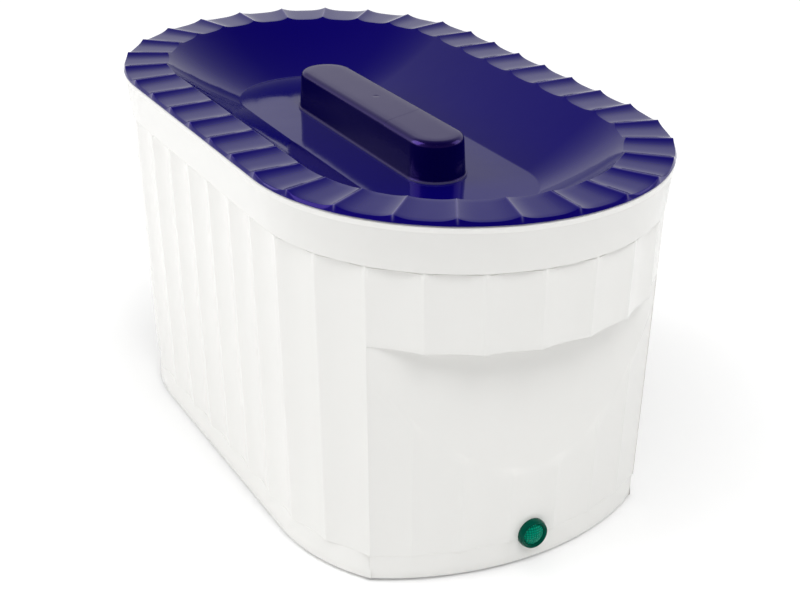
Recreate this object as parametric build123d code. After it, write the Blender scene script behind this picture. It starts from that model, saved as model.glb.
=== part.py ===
from build123d import *
import math
import os

# Paraffin bath: a fluted white housing round a heated wax tank, under a scalloped lift-off lid.
# Sizes are in millimetres. The origin is on the table under the middle of the bath, +Z is up,
# the long axis is Y, and the front end with the pilot lamp is at -Y.

# Overall sizes
HALF_WIDTH = 113.0        # middle plane to the outer end of the lid's ridges
HALF_STRAIGHT = 84.7      # half length of the straight long sides
HEIGHT = 212.0            # table to the ridges of the lid's rim
FOOT_GAP = 2.0            # table to the lower edge of the housing
END_FLUTES = 12           # scallops and flutes round each half-round end
SIDE_FLUTES = 6           # scallops and flutes along each straight side
LOOSE = 0.3               # gap between pieces that lift apart
CUT_OVER = 1.0            # cuts run this far past the faces that they open
SHAFT_CLEARANCE = 0.08    # radial gap of a turning shaft in its bush

# Lid
RIM_EDGE = 4.0            # height of the rim's outer edge
RIM_FLARE = 1.0           # the edge's foot stands this far outside its top
RIM_BAND = 24.2           # width of the scalloped band
SCALLOP_OUTER_DIP = 2.0
SCALLOP_INNER_DIP = 1.5
RIDGE_CREST = 0.04        # height shaved off the sharp ridges
DISH_DEPTH = 27.6
DISH_FLOOR_R = 45.5       # half width of the flat dish floor
DISH_WALL_HOLLOW = 1.8    # sag of the dish wall below a straight slope
LID_WALL = 2.8
SKIRT_DEPTH = 8.0         # the skirt under the rim keeps the lid in place
SKIRT_WALL = 2.4
SKIRT_GAP = 1.0
LID_SHOULDER = 4.2        # the underside meets the seat this far outside the dish
SCALLOP_REACH_OUT = 3.0   # scallops are cut this far past the edge
SCALLOP_REACH_IN = 8.0    # and this far past the dish's brim

# Lid handle
HANDLE_HALF_STRAIGHT = 65.0
HANDLE_R = 16.7
HANDLE_HEIGHT = 22.6
HANDLE_DRAFT = 3.5        # degrees
HANDLE_EDGE_R = 3.5
HANDLE_WALL = 3.0
HANDLE_LIP = 0.8          # bead round the handle's foot
HANDLE_LIP_H = 1.2
HANDLE_SCREW_Y = 46.0
SCREW_R = 1.75
SCREW_HEAD_R = 3.5
SCREW_HEAD_H = 2.2
SCREW_HOLE_GAP = 0.1
SCREW_HEAD_EDGE = 0.7
BOSS_R = 5.0
HANDLE_GRIP = 12.0        # length of screw in the handle's bosses
HANDLE_HOLE_DEPTH = 14.0

# Housing
SHELL_WALL = 3.0
BEAD_H = 4.2              # rounded bead right under the lid
BEAD_INSET = 0.6          # the bead lies inside the lid's edge
BEAD_EDGE = 0.8
COLLAR_H = 20.5           # smooth band between bead and flutes
COLLAR_INSET = 1.0        # the collar's top lies inside the lid's edge
COLLAR_DRAFT = 2.1        # the collar narrows by this much
FLUTE_DRAFT = 0.0288      # inward lean of the fluted walls, per millimetre of height
FLUTE_DIP = 2.2
RIDGE_STEP = 0.1          # the ridges start this far inside the collar's foot
BASE_BAND_H = 14.4        # smooth band under the flutes
BASE_BAND_FLARE = 1.0
BASE_STEP = 0.2           # the band stands this far outside the flutes' hollows
RECESS_TOP_Z = 139.6      # underside of the overhang at each end
RECESS_SET_BACK = 17.8    # depth of the hand-hold at the nose
RECESS_FLUTES = 7         # flutes that the recess takes in
PANEL_DIP = 1.2           # depth of the flutes inside the recess
SCOOP_SINK = 0.2          # the scoop's middle lies this far behind those flutes
SCOOP_LOW_Z = 58.0        # lowest point of the smooth scoop
SCOOP_SIDE_Z = 124.0      # height of the scoop's boundary at the recess's sides
CREASE_STEP = 0.4
CREASE_TURN = 0.02        # share of a flute between the recess's side and the ridge
RECESS_REACH = 60.0       # the recess is cut this far out from the ridges
LEDGE_SEAT_W = 9.0        # width of the tank's seat on the inner ledge
LEDGE_T = 3.0

# Tank
TANK_UNDER_Z = 56.0       # the room below holds the switches and the wiring
TANK_DRAFT = 3.0          # the inner half width shrinks by this much to the floor
TANK_WALL = 2.0
TANK_CORNER_R = 12.0
TANK_LIP_R = 4.0
FLANGE_GAP = 3.0          # flange to the housing's throat
FLANGE_DROP = 14.0        # flange top below the lid's ridges
SEAL_T = 2.0

# Grille on the tank's floor
GRILLE_T = 3.0
GRILLE_STAND = 6.0
GRILLE_GAP = 2.2
GRILLE_BAR = 3.6          # width of the bars between the slots
GRILLE_SLOT_W = 10.4
GRILLE_SLOT_L = 38.4
GRILLE_BORDER = 7.0
GRILLE_LEAST_SLOT = 12.0  # shorter slots are left out at the ends
GRILLE_PEG_R = 3.0
GRILLE_PEG_COLUMN = 3.5   # pegs stand under the bars, counted in slots from the middle
GRILLE_PEG_ROW = 2.5

# Heating and insulation
MAT_T = 1.5
MAT_INSET = 1.0           # mat and pad end inside the tank's flat floor
BAND_T = 1.2
BAND_LOW = 14.0           # above the tank's floor
BAND_H = 62.0
WRAP_T = 2.5
WRAP_OVERLAP = 4.0        # the wrap starts this far below the heater band
WRAP_TOP_GAP = 8.0        # and ends this far below the ledge
WRAP_GAP = 0.3            # wrap to the panel behind the hand-hold
PAD_T = 8.0

# Thermostat and thermal cut-out on the tank's underside
THERMO_Y = 20.0
THERMO_L = 30.0
THERMO_W = 22.0
THERMO_H = 14.0
THERMO_BUSH_R = 4.5
THERMO_BUSH_H = 4.0
THERMO_EDGE_R = 3.0
SPINDLE_R = 2.5
SPINDLE_END_INSET = 3.5   # the spindle ends this far above the base plate's lower face
SPINDLE_SLOT_W = 1.0
SPINDLE_SLOT_D = 1.2
ACCESS_HOLE_R = 4.5
CUTOUT_Y = -50.0
CUTOUT_R = 8.0
CUTOUT_H = 10.0
CUTOUT_RIM_H = 1.5
CUTOUT_RIM_W = 1.2
CUTOUT_NOSE_R = 5.0
CUTOUT_NOSE_H = 3.0
CUTOUT_TAB_INSET = 4.0    # the tabs start this far inside the rim
POCKET_GAP = 3.0          # room round both switches in mat and pad
TAB_L = 6.0
TAB_W = 4.8
TAB_T = 0.8
TAB_DROP = 11.6           # tabs below the tank's underside

# Base
PLATE_T = 1.5
PLATE_INSET = 3.0         # the plate lies this far inside the housing's lower edge
PLATE_GAP = 0.4
FOOT_R = 11.0
FOOT_EDGE = 1.0
FOOT_WALL_GAP = 5.5       # foot to the inner face of the side walls
FOOT_PAST_SIDE = 13.3     # the feet stand this far past the straight sides
BASE_BOSS_R = 4.5
BASE_BOSS_H = 30.0
BASE_WEB_DROP = 4.0       # the webs end below the bosses' tops
SIDE_SCREW_INSET = 9.0    # side boss axis to the inner wall
BASE_SCREW_L = 14.0
BASE_SCREW_END_GAP = 1.0  # screw end to the bottom of its hole
FOOT_HEAD_INSET = 0.8     # the screw's head lies this far inside the foot
RIB_T = 2.5

# Pilot lamp
LAMP_Z = 18.3
LAMP_RING_R = 8.4
LAMP_RING_H = 4.0
LAMP_RING_EDGE = 1.0
LAMP_RING_STEP = 0.6      # height of the chamfer round the lens
LAMP_RING_FLOOR = 1.2     # the lens stands on this
LAMP_LENS_R = 5.9
LAMP_LENS_RISE = 1.6
LAMP_LENS_SINK = 0.4      # the lens's side ends this far below the ring
LAMP_LENS_GAP = 0.05
LAMP_SEAT_GAP = 0.5       # flat seat round the ring
LAMP_BARREL_R = 6.0
LAMP_BARREL_L = 26.0
LAMP_TAIL_L = 6.0
LAMP_TAIL_STEP = 1.5
LAMP_HOLE_GAP = 0.2
LAMP_NUT_R = 8.5
LAMP_NUT_T = 2.5
NUT_GAP = 0.05            # nut to barrel or stud
NUT_SEAT_GAP = 0.5        # flat seat round a nut
INNER_SEAT_DEPTH = 0.6    # flat seats of both nuts, cut into the inner wall

# Cord gland at the rear, bare
GLAND_Z = 22.0
GLAND_BORE_R = 3.75
GLAND_BARREL_R = 6.0
GLAND_FLANGE_R = 9.0
GLAND_FLANGE_T = 3.0
GLAND_EDGE = 1.0
GLAND_BARREL_L = 16.0
GLAND_NUT_R = 9.0
GLAND_NUT_T = 4.0

# Wiring
BLOCK_Y = 112.0
BLOCK_L = 36.0
BLOCK_W = 18.0
BLOCK_H = 13.0
BLOCK_SHELF_H = 7.8
BLOCK_POLE_PITCH = 8.0
BLOCK_POLE_W = 6.0
BLOCK_SCREW_X = 14.1
BLOCK_SCREW_HEAD_R = 2.9
BLOCK_SCREW_HEAD_H = 1.6
EARTH_X = 38.0
EARTH_Y = 112.0
EARTH_R = 2.0
EARTH_H = 12.0
EARTH_HEAD_H = 1.5
EARTH_NUT_R = 4.0
EARTH_NUT_H = 3.2
EARTH_TAG_L = 12.0
EARTH_TAG_W = 6.0
LEAD_R = 1.1
LEAD_SIDES = 8
LEAD_BEND_R = 7.0
LEAD_LANE_X = 34.0        # the return lead runs beside the switches
LEAD_OUT = 18.0          # straight run out of the terminal block
LEAD_TAB_RUN = 20.0      # straight run into the thermostat's tab
LINK_HALF_SAG = 10.0     # half length of the link's sag between both switches
FEED_OUT = 14.0          # straight run out of the cut-out
FEED_TURN = 26.0         # the feed turns sideways this far from the cut-out
FEED_BEND_X = 12.0
BACK_TURN = 56.0         # the return rises this far from the terminal block
LAMP_LEAD_OUT = 16.0     # straight run out of the lamp
LAMP_LEAD_FALL = 50.0    # the pair is down on the plate this far from the lamp
LAMP_LEAD_RISE = 44.0    # the pair leaves the plate this far from the terminal block
LAMP_LEAD_IN = 20.0      # straight run into the terminal block
LEAD_FEED_X = 26.0
LEAD_LIFT = 8.0           # leads that cross lie this far apart
LAMP_LEAD_X = 2.2
LAMP_LANE_X = 24.0
LAMP_LEAD_DROP = 3.0      # the lamp's leads enter the block below the others
LEAD_FLOOR_GAP = 0.2

# Heights that follow
LID_SEAT_Z = HEIGHT - RIM_EDGE
LIP_Z = LID_SEAT_Z - LOOSE
BEAD_LOW_Z = LIP_Z - BEAD_H
COLLAR_LOW_Z = BEAD_LOW_Z - COLLAR_H
BAND_TOP_Z = FOOT_GAP + BASE_BAND_H
FLANGE_TOP_Z = HEIGHT - FLANGE_DROP
FLANGE_LOW_Z = FLANGE_TOP_Z - TANK_WALL
LEDGE_TOP_Z = FLANGE_LOW_Z - SEAL_T
TANK_FLOOR_Z = TANK_UNDER_Z + TANK_WALL
PAD_LOW_Z = TANK_UNDER_Z - MAT_T - PAD_T
TAB_Z = TANK_UNDER_Z - TAB_DROP
DISH_FLOOR_Z = HEIGHT - DISH_DEPTH
DISH_UNDER_Z = DISH_FLOOR_Z - LID_WALL
PLATE_LOW_Z = FOOT_GAP + PLATE_INSET
PLATE_TOP_Z = PLATE_LOW_Z + PLATE_T

# Half widths that follow
EDGE_R = HALF_WIDTH + RIM_FLARE
BEAD_R = EDGE_R - BEAD_INSET
COLLAR_TOP_R = EDGE_R - COLLAR_INSET
COLLAR_LOW_R = COLLAR_TOP_R - COLLAR_DRAFT
RIDGE_TOP_R = COLLAR_LOW_R - RIDGE_STEP
LIP_INNER_R = COLLAR_TOP_R - SHELL_WALL
SKIRT_R = LIP_INNER_R - SKIRT_GAP
FLANGE_R = LIP_INNER_R - FLANGE_GAP
LEDGE_INNER_R = FLANGE_R - LEDGE_SEAT_W


def ridge_r(z):
    """Half width over the flutes' ridges at height z."""
    return RIDGE_TOP_R - FLUTE_DRAFT * (COLLAR_LOW_Z - z)


# Places that follow from the leaning walls
WALL_SKIN = FLUTE_DIP + SHELL_WALL
PANEL_SINK = PANEL_DIP + SCOOP_SINK
PANEL_SKIN = PANEL_SINK + SHELL_WALL
PANEL_INNER_R = ridge_r(TANK_UNDER_Z) - RECESS_SET_BACK - PANEL_SKIN
TANK_LOW_R = PANEL_INNER_R - WRAP_GAP - WRAP_T - BAND_T - TANK_WALL
TANK_TOP_R = TANK_LOW_R + TANK_DRAFT
MAT_R = TANK_LOW_R - TANK_CORNER_R - MAT_INSET
BASE_INNER_R = ridge_r(PLATE_TOP_Z) - WALL_SKIN
FOOT_X = BASE_INNER_R - FOOT_WALL_GAP - FOOT_R
FOOT_Y = HALF_STRAIGHT + FOOT_PAST_SIDE


def station(k, r):
    """Plan point of station k on the outline of half width r; 0 is the middle of the front end."""
    half = END_FLUTES / 2
    count = 2 * (END_FLUTES + SIDE_FLUTES)
    k = (k + count / 2) % count - count / 2
    side = 1 if k >= 0 else -1
    a = abs(k)
    step = math.pi / END_FLUTES
    if a <= half:
        return side * r * math.sin(a * step), -HALF_STRAIGHT - r * math.cos(a * step)
    if a <= half + SIDE_FLUTES:
        return side * r, HALF_STRAIGHT * (2 * (a - half) / SIDE_FLUTES - 1)
    t = (count / 2 - a) * step
    return side * r * math.sin(t), HALF_STRAIGHT + r * math.cos(t)


def run_round(profile):
    """Solid of a closed profile, given as a face in the XZ plane, run round the stadium outline."""
    side = extrude(Pos(0, -HALF_STRAIGHT, 0) * profile, 2 * HALF_STRAIGHT, dir=(0, 1, 0))
    front = Pos(0, -HALF_STRAIGHT, 0) * revolve(profile, Axis.Z, -180)
    rear = Pos(0, HALF_STRAIGHT, 0) * revolve(profile, Axis.Z, 180)
    return front + rear + side + mirror(side, Plane.YZ)


def section(*points):
    """Face in the XZ plane from (half width, height) corners."""
    corners = [Vector(r, 0, z) for r, z in points]
    return make_face(Polyline(*corners, close=True))


def rounded(face, corners):
    """Face in the XZ plane with the named corners rounded: a list of (half width, height, radius)."""
    for r, z, radius in corners:
        corner = min(face.vertices(), key=lambda v: abs(v.X - r) + abs(v.Z - z))
        face = face.face().fillet_2d(radius, [corner])
    return face


def stadium(r, z, height, half_straight=HALF_STRAIGHT):
    """Upright stadium prism of half width r."""
    middle = Box(2 * r, 2 * half_straight, height, align=(Align.CENTER, Align.CENTER, Align.MIN))
    end = Cylinder(r, height, align=(Align.CENTER, Align.CENTER, Align.MIN))
    return Pos(0, 0, z) * (middle + Pos(0, half_straight, 0) * end + Pos(0, -half_straight, 0) * end)


def upright(x, y, z0, z1, r):
    """Upright cylinder between two heights."""
    return Pos(x, y, z0) * Cylinder(r, z1 - z0, align=(Align.CENTER, Align.CENTER, Align.MIN))


def along_y(x, z, y0, y1, r):
    """Cylinder along Y between two places."""
    axis = Rot(-90, 0, 0) * Cylinder(r, y1 - y0, align=(Align.CENTER, Align.CENTER, Align.MIN))
    return Pos(x, y0, z) * axis


def block(x0, x1, y0, y1, z0, z1):
    """Box between two corners."""
    return Pos(x0, y0, z0) * Box(x1 - x0, y1 - y0, z1 - z0, align=(Align.MIN, Align.MIN, Align.MIN))


def fluted_face(r, z):
    """Level face whose outline has a hollow between each pair of ridges."""
    arcs = []
    for i in range(2 * (END_FLUTES + SIDE_FLUTES)):
        start = (*station(i - 0.5, r), z)
        middle = (*station(i, r - FLUTE_DIP), z)
        end = (*station(i + 0.5, r), z)
        arcs.append(ThreePointArc(start, middle, end))
    return make_face(arcs)


def panel_y(x, z):
    """Y of the end panel's ridges at x and height z: an arc from end ridge to end ridge."""
    end_x, end_y = station(RECESS_FLUTES / 2, ridge_r(z))
    apex = -HALF_STRAIGHT - ridge_r(z) + RECESS_SET_BACK
    sag = end_y - apex
    radius = (end_x ** 2 + sag ** 2) / (2 * sag)
    return apex + radius - math.sqrt(radius ** 2 - x ** 2)


def recess_face(z, dip, inset, sink):
    """Level face of what the front recess takes away.

    The dip is the depth of its flutes, the inset moves it inwards, and the sink moves only its middle.
    """
    last = RECESS_FLUTES / 2
    end_x, end_y = station(last - CREASE_TURN, ridge_r(z) - CREASE_STEP - inset)
    out_x, out_y = station(last - CREASE_TURN, ridge_r(z) + RECESS_REACH)
    lines = []
    if dip > 0:
        edges = [station(k - last, ridge_r(z))[0] for k in range(RECESS_FLUTES + 1)]
        edges[0] = -end_x
        edges[-1] = end_x
        for left, right in zip(edges[:-1], edges[1:]):
            middle = (left + right) / 2
            start_y = end_y if left == -end_x else panel_y(left, z)
            stop_y = end_y if right == end_x else panel_y(right, z)
            hollow = (middle, panel_y(middle, z) + dip, z)
            lines.append(ThreePointArc((left, start_y, z), hollow, (right, stop_y, z)))
    else:
        apex = (0, panel_y(0, z) + inset + sink, z)
        lines.append(ThreePointArc((-end_x, end_y, z), apex, (end_x, end_y, z)))
    front = -HALF_STRAIGHT - ridge_r(z) - RECESS_REACH
    lines.append(Polyline((end_x, end_y, z), (out_x, out_y, z), (out_x, front, z),
                          (-out_x, front, z), (-out_x, out_y, z), (-end_x, end_y, z)))
    return make_face(lines)


def recess_cut(z0, z1, dip=0.0, inset=0.0, sink=0.0):
    """Solid that the front recess takes away between two heights."""
    return loft([recess_face(z, dip, inset, sink) for z in (z0, z1)], ruled=True)


def scoop_reach():
    """Block over the smooth part of the recess, bounded below by a wide U."""
    wide = station(RECESS_FLUTES / 2, ridge_r(RECESS_TOP_Z))[0]
    y = -HALF_STRAIGHT - 2 * HALF_WIDTH
    pull = 2 * SCOOP_LOW_Z - SCOOP_SIDE_Z
    curve = Bezier((-wide, y, SCOOP_SIDE_Z), (0, y, pull), (wide, y, SCOOP_SIDE_Z))
    top = Polyline((wide, y, SCOOP_SIDE_Z), (wide, y, RECESS_TOP_Z), (-wide, y, RECESS_TOP_Z),
                   (-wide, y, SCOOP_SIDE_Z))
    return extrude(make_face([curve, top]), 2 * HALF_WIDTH, dir=(0, 1, 0))


def at_both_ends(solid):
    """The solid and its half turn about the middle."""
    return solid + Rot(0, 0, 180) * solid


def inner_space(z0, z1, gap=0.0):
    """Space inside the fluted walls, smaller all round by the gap."""
    skin = WALL_SKIN + gap
    body = run_round(section((0, z0), (ridge_r(z0) - skin, z0), (ridge_r(z1) - skin, z1), (0, z1)))
    top = min(z1, RECESS_TOP_Z) + SHELL_WALL + gap
    return body - at_both_ends(recess_cut(z0 - CUT_OVER, top, inset=PANEL_SKIN + gap))


def foot_places():
    """Plan points of the four feet, front left first."""
    return [(sx * FOOT_X, sy * FOOT_Y) for sy in (-1, 1) for sx in (-1, 1)]


def side_screw_places():
    """Plan points of the two screws at the middle of the long sides."""
    x = BASE_INNER_R - SIDE_SCREW_INSET
    return [(-x, 0), (x, 0)]


def make_housing():
    collar = section((0, COLLAR_LOW_Z), (COLLAR_LOW_R, COLLAR_LOW_Z), (COLLAR_TOP_R, BEAD_LOW_Z),
                     (BEAD_R, BEAD_LOW_Z + BEAD_EDGE), (BEAD_R, LIP_Z - BEAD_EDGE),
                     (BEAD_R - BEAD_EDGE, LIP_Z), (0, LIP_Z))
    levels = (BAND_TOP_Z, COLLAR_LOW_Z)
    walls = loft([fluted_face(ridge_r(z), z) for z in levels], ruled=True)
    band_r = ridge_r(BAND_TOP_Z) - FLUTE_DIP + BASE_STEP
    band = section((0, FOOT_GAP), (band_r + BASE_BAND_FLARE, FOOT_GAP), (band_r, BAND_TOP_Z), (0, BAND_TOP_Z))
    recess = recess_cut(BAND_TOP_Z, RECESS_TOP_Z, dip=PANEL_DIP) - scoop_reach()
    recess += recess_cut(FOOT_GAP - CUT_OVER, BAND_TOP_Z, inset=PANEL_DIP - BASE_STEP)
    recess += recess_cut(SCOOP_LOW_Z - CUT_OVER, RECESS_TOP_Z, sink=PANEL_SINK) & scoop_reach()
    outer = run_round(collar) + walls + run_round(band) - at_both_ends(recess)
    throat = section((0, COLLAR_LOW_Z), (COLLAR_LOW_R - SHELL_WALL, COLLAR_LOW_Z), (LIP_INNER_R, BEAD_LOW_Z),
                     (LIP_INNER_R, LIP_Z + CUT_OVER), (0, LIP_Z + CUT_OVER))
    ledge_low_z = LEDGE_TOP_Z - LEDGE_T
    ledge_r = LIP_INNER_R + SHELL_WALL / 3
    ledge = section((LEDGE_INNER_R, ledge_low_z), (ledge_r, ledge_low_z), (ledge_r, LEDGE_TOP_Z),
                    (LEDGE_INNER_R, LEDGE_TOP_Z))
    shell = outer - inner_space(FOOT_GAP - CUT_OVER, COLLAR_LOW_Z) - run_round(throat) + run_round(ledge)
    return shell + base_bosses() - lamp_hole() - gland_hole()


def lamp_face_y():
    """Y of the flat seat of the lamp's ring."""
    return panel_y(0, LAMP_Z) + PANEL_DIP


def gland_face_y():
    """Y of the flat seat of the cord gland at the rear."""
    return -panel_y(0, GLAND_Z) - PANEL_DIP


def inner_panel_y(z):
    """Y of the flat seat for a nut on the inner face of the front panel."""
    return panel_y(0, z) + PANEL_SKIN - INNER_SEAT_DEPTH


def lamp_hole():
    """Outer seat, hole and inner seat of the lamp."""
    y = lamp_face_y()
    inner = inner_panel_y(LAMP_Z)
    hole = along_y(0, LAMP_Z, y - LAMP_BARREL_L, y, LAMP_RING_R + LAMP_SEAT_GAP)
    hole += along_y(0, LAMP_Z, y - CUT_OVER, inner + CUT_OVER, LAMP_BARREL_R + LAMP_HOLE_GAP)
    return hole + along_y(0, LAMP_Z, inner, inner + SHELL_WALL, LAMP_NUT_R + NUT_SEAT_GAP)


def gland_hole():
    """Outer seat, hole and inner seat of the cord gland."""
    y = gland_face_y()
    inner = -inner_panel_y(GLAND_Z)
    hole = along_y(0, GLAND_Z, y, y + LAMP_BARREL_L, GLAND_FLANGE_R + NUT_SEAT_GAP)
    hole += along_y(0, GLAND_Z, inner - CUT_OVER, y + CUT_OVER, GLAND_BARREL_R + LAMP_HOLE_GAP)
    return hole + along_y(0, GLAND_Z, inner - SHELL_WALL, inner, GLAND_NUT_R + NUT_SEAT_GAP)


def base_bosses():
    """Screw posts under the tank, each webbed to the nearest wall."""
    top = PLATE_TOP_Z + BASE_BOSS_H
    posts = []
    for x, y in foot_places() + side_screw_places():
        left, right = sorted((x, math.copysign(HALF_WIDTH, x)))
        web = block(left, right, y - RIB_T / 2, y + RIB_T / 2, PLATE_TOP_Z, top - BASE_WEB_DROP)
        hole = upright(x, y, PLATE_TOP_Z, PLATE_TOP_Z + BASE_SCREW_L, SCREW_R + SCREW_HOLE_GAP)
        posts.append(upright(x, y, PLATE_TOP_Z, top, BASE_BOSS_R) + web - hole)
    skin = WALL_SKIN - SHELL_WALL * 2 / 3
    room = section((0, 0), (ridge_r(0) - skin, 0), (ridge_r(top) - skin, top), (0, top))
    return Part() + posts & run_round(room)


def make_tank():
    low = TANK_LOW_R + TANK_WALL
    top = TANK_TOP_R + TANK_WALL
    wall = section((0, TANK_UNDER_Z), (low, TANK_UNDER_Z), (top, FLANGE_LOW_Z), (FLANGE_R, FLANGE_LOW_Z),
                   (FLANGE_R, FLANGE_TOP_Z), (TANK_TOP_R, FLANGE_TOP_Z), (TANK_LOW_R, TANK_FLOOR_Z),
                   (0, TANK_FLOOR_Z))
    wall = rounded(wall, [(low, TANK_UNDER_Z, TANK_CORNER_R + TANK_WALL),
                          (TANK_LOW_R, TANK_FLOOR_Z, TANK_CORNER_R),
                          (top, FLANGE_LOW_Z, TANK_LIP_R - TANK_WALL),
                          (TANK_TOP_R, FLANGE_TOP_Z, TANK_LIP_R)])
    return run_round(wall)


def tank_outside(z):
    """Outer half width of the tank's wall at height z."""
    share = (z - TANK_UNDER_Z) / (FLANGE_LOW_Z - TANK_UNDER_Z)
    return TANK_TOP_R + TANK_WALL - TANK_DRAFT * (1 - share)


def sleeve(z0, z1, inset, thickness):
    """Layer round the tank's wall."""
    r0 = tank_outside(z0) + inset
    r1 = tank_outside(z1) + inset
    return run_round(section((r0, z0), (r0 + thickness, z0), (r1 + thickness, z1), (r1, z1)))


def make_tank_seal():
    return run_round(section((LEDGE_INNER_R, LEDGE_TOP_Z), (FLANGE_R, LEDGE_TOP_Z), (FLANGE_R, FLANGE_LOW_Z),
                             (LEDGE_INNER_R, FLANGE_LOW_Z)))


def make_grille():
    low = TANK_FLOOR_Z + GRILLE_STAND
    r = TANK_LOW_R - GRILLE_GAP
    inner = r - GRILLE_BORDER
    column = GRILLE_SLOT_W + GRILLE_BAR
    row = GRILLE_SLOT_L + GRILLE_BAR
    columns = int(inner // column)
    rows = int((inner + HALF_STRAIGHT) // row)
    room = stadium(inner, low - CUT_OVER, GRILLE_T + 2 * CUT_OVER)
    least = GRILLE_LEAST_SLOT * GRILLE_SLOT_W * (GRILLE_T + 2 * CUT_OVER)
    dx = GRILLE_SLOT_W / 2
    dy = GRILLE_SLOT_L / 2
    plate = stadium(r, low, GRILLE_T)
    for i in range(-columns, columns + 1):
        for j in range(-rows, rows + 1):
            x, y = i * column, j * row
            slot = block(x - dx, x + dx, y - dy, y + dy, low - CUT_OVER, low + GRILLE_T + CUT_OVER) & room
            if slot is not None and slot.volume > least:
                plate -= slot
    for x in (-GRILLE_PEG_COLUMN * column, GRILLE_PEG_COLUMN * column):
        for y in (-GRILLE_PEG_ROW * row, -row / 2, row / 2, GRILLE_PEG_ROW * row):
            plate += upright(x, y, TANK_FLOOR_Z + LOOSE, low, GRILLE_PEG_R)
    return plate


def switch_pockets(z0, z1):
    """Openings round both switches in the layers under the tank."""
    long_side = THERMO_L / 2 + POCKET_GAP
    short_side = THERMO_W / 2 + POCKET_GAP
    low, high = z0 - CUT_OVER, z1 + CUT_OVER
    pocket = block(-long_side, long_side, THERMO_Y - short_side, THERMO_Y + short_side, low, high)
    return pocket + upright(0, CUTOUT_Y, low, high, CUTOUT_R + POCKET_GAP)


def make_heater_mat():
    z = TANK_UNDER_Z - MAT_T
    return stadium(MAT_R, z, MAT_T) - switch_pockets(z, TANK_UNDER_Z)


def make_insulation_pad():
    return stadium(MAT_R, PAD_LOW_Z, PAD_T) - switch_pockets(PAD_LOW_Z, TANK_UNDER_Z)


def tabs(y, half_length):
    """Flat terminals that stick out of a switch along Y, one each way."""
    reach = half_length + TAB_L
    return block(-TAB_W / 2, TAB_W / 2, y - reach, y + reach, TAB_Z, TAB_Z + TAB_T)


def make_thermostat_body():
    z = TANK_UNDER_Z - THERMO_H
    front = THERMO_Y - THERMO_W / 2
    case = block(-THERMO_L / 2, THERMO_L / 2, front, front + THERMO_W, z, TANK_UNDER_Z)
    case = fillet(case.edges().filter_by(Axis.Z), THERMO_EDGE_R)
    case += upright(0, THERMO_Y, z - THERMO_BUSH_H, z, THERMO_BUSH_R)
    case += tabs(THERMO_Y, THERMO_W / 2)
    return case - upright(0, THERMO_Y, z - THERMO_BUSH_H, z + THERMO_H / 2, SPINDLE_R + SHAFT_CLEARANCE)


def make_thermostat_spindle():
    low = PLATE_LOW_Z + SPINDLE_END_INSET
    top = TANK_UNDER_Z - THERMO_H / 2 - LOOSE
    shaft = upright(0, THERMO_Y, low, top, SPINDLE_R)
    slot = block(-SPINDLE_R - CUT_OVER, SPINDLE_R + CUT_OVER, THERMO_Y - SPINDLE_SLOT_W / 2,
                 THERMO_Y + SPINDLE_SLOT_W / 2, low - CUT_OVER, low + SPINDLE_SLOT_D)
    return shaft - slot


def make_thermal_cutout():
    z = TANK_UNDER_Z - CUTOUT_H
    case = upright(0, CUTOUT_Y, z, TANK_UNDER_Z, CUTOUT_R - CUTOUT_RIM_W)
    case += upright(0, CUTOUT_Y, TANK_UNDER_Z - CUTOUT_RIM_H, TANK_UNDER_Z, CUTOUT_R)
    case += upright(0, CUTOUT_Y, z - CUTOUT_NOSE_H, z, CUTOUT_NOSE_R)
    return case + tabs(CUTOUT_Y, CUTOUT_R - CUTOUT_TAB_INSET)


def make_base_plate():
    plate = inner_space(PLATE_LOW_Z, PLATE_TOP_Z, PLATE_GAP)
    for x, y in foot_places() + side_screw_places():
        plate -= upright(x, y, PLATE_LOW_Z - CUT_OVER, PLATE_TOP_Z + CUT_OVER, SCREW_R + SCREW_HOLE_GAP)
    return plate - upright(0, THERMO_Y, PLATE_LOW_Z - CUT_OVER, PLATE_TOP_Z + CUT_OVER, ACCESS_HOLE_R)


def make_foot(x, y):
    head_z = FOOT_HEAD_INSET + SCREW_HEAD_H
    head_r = SCREW_HEAD_R + NUT_SEAT_GAP
    hole_r = SCREW_R + SCREW_HOLE_GAP
    foot = section((head_r, 0), (FOOT_R - FOOT_EDGE, 0), (FOOT_R, FOOT_EDGE), (FOOT_R, PLATE_LOW_Z),
                   (hole_r, PLATE_LOW_Z), (hole_r, head_z), (head_r, head_z))
    return Pos(x, y, 0) * revolve(foot, Axis.Z, 360)


def screw(x, y, head_low, length):
    """Pan-head screw that goes up from its head."""
    seat = head_low + SCREW_HEAD_H
    half = section((0, head_low), (SCREW_HEAD_R - SCREW_HEAD_EDGE, head_low),
                   (SCREW_HEAD_R, head_low + SCREW_HEAD_EDGE), (SCREW_HEAD_R, seat), (SCREW_R, seat),
                   (SCREW_R, seat + length), (0, seat + length))
    return Pos(x, y, 0) * revolve(half, Axis.Z, 360)


def make_foot_screws():
    length = PLATE_TOP_Z + BASE_SCREW_L - BASE_SCREW_END_GAP - FOOT_HEAD_INSET - SCREW_HEAD_H
    return [screw(x, y, FOOT_HEAD_INSET, length) for x, y in foot_places()]


def make_base_screws():
    return [screw(x, y, PLATE_LOW_Z - SCREW_HEAD_H, BASE_SCREW_L) for x, y in side_screw_places()]


def turned_y(points, x, y, z):
    """Solid turned about a Y axis: points are (radius, distance out along -Y)."""
    corners = [Vector(r, -d, 0) for r, d in points]
    face = make_face(Polyline(*corners, close=True))
    return Pos(x, y, z) * revolve(face, Axis.Y, 360)


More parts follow.
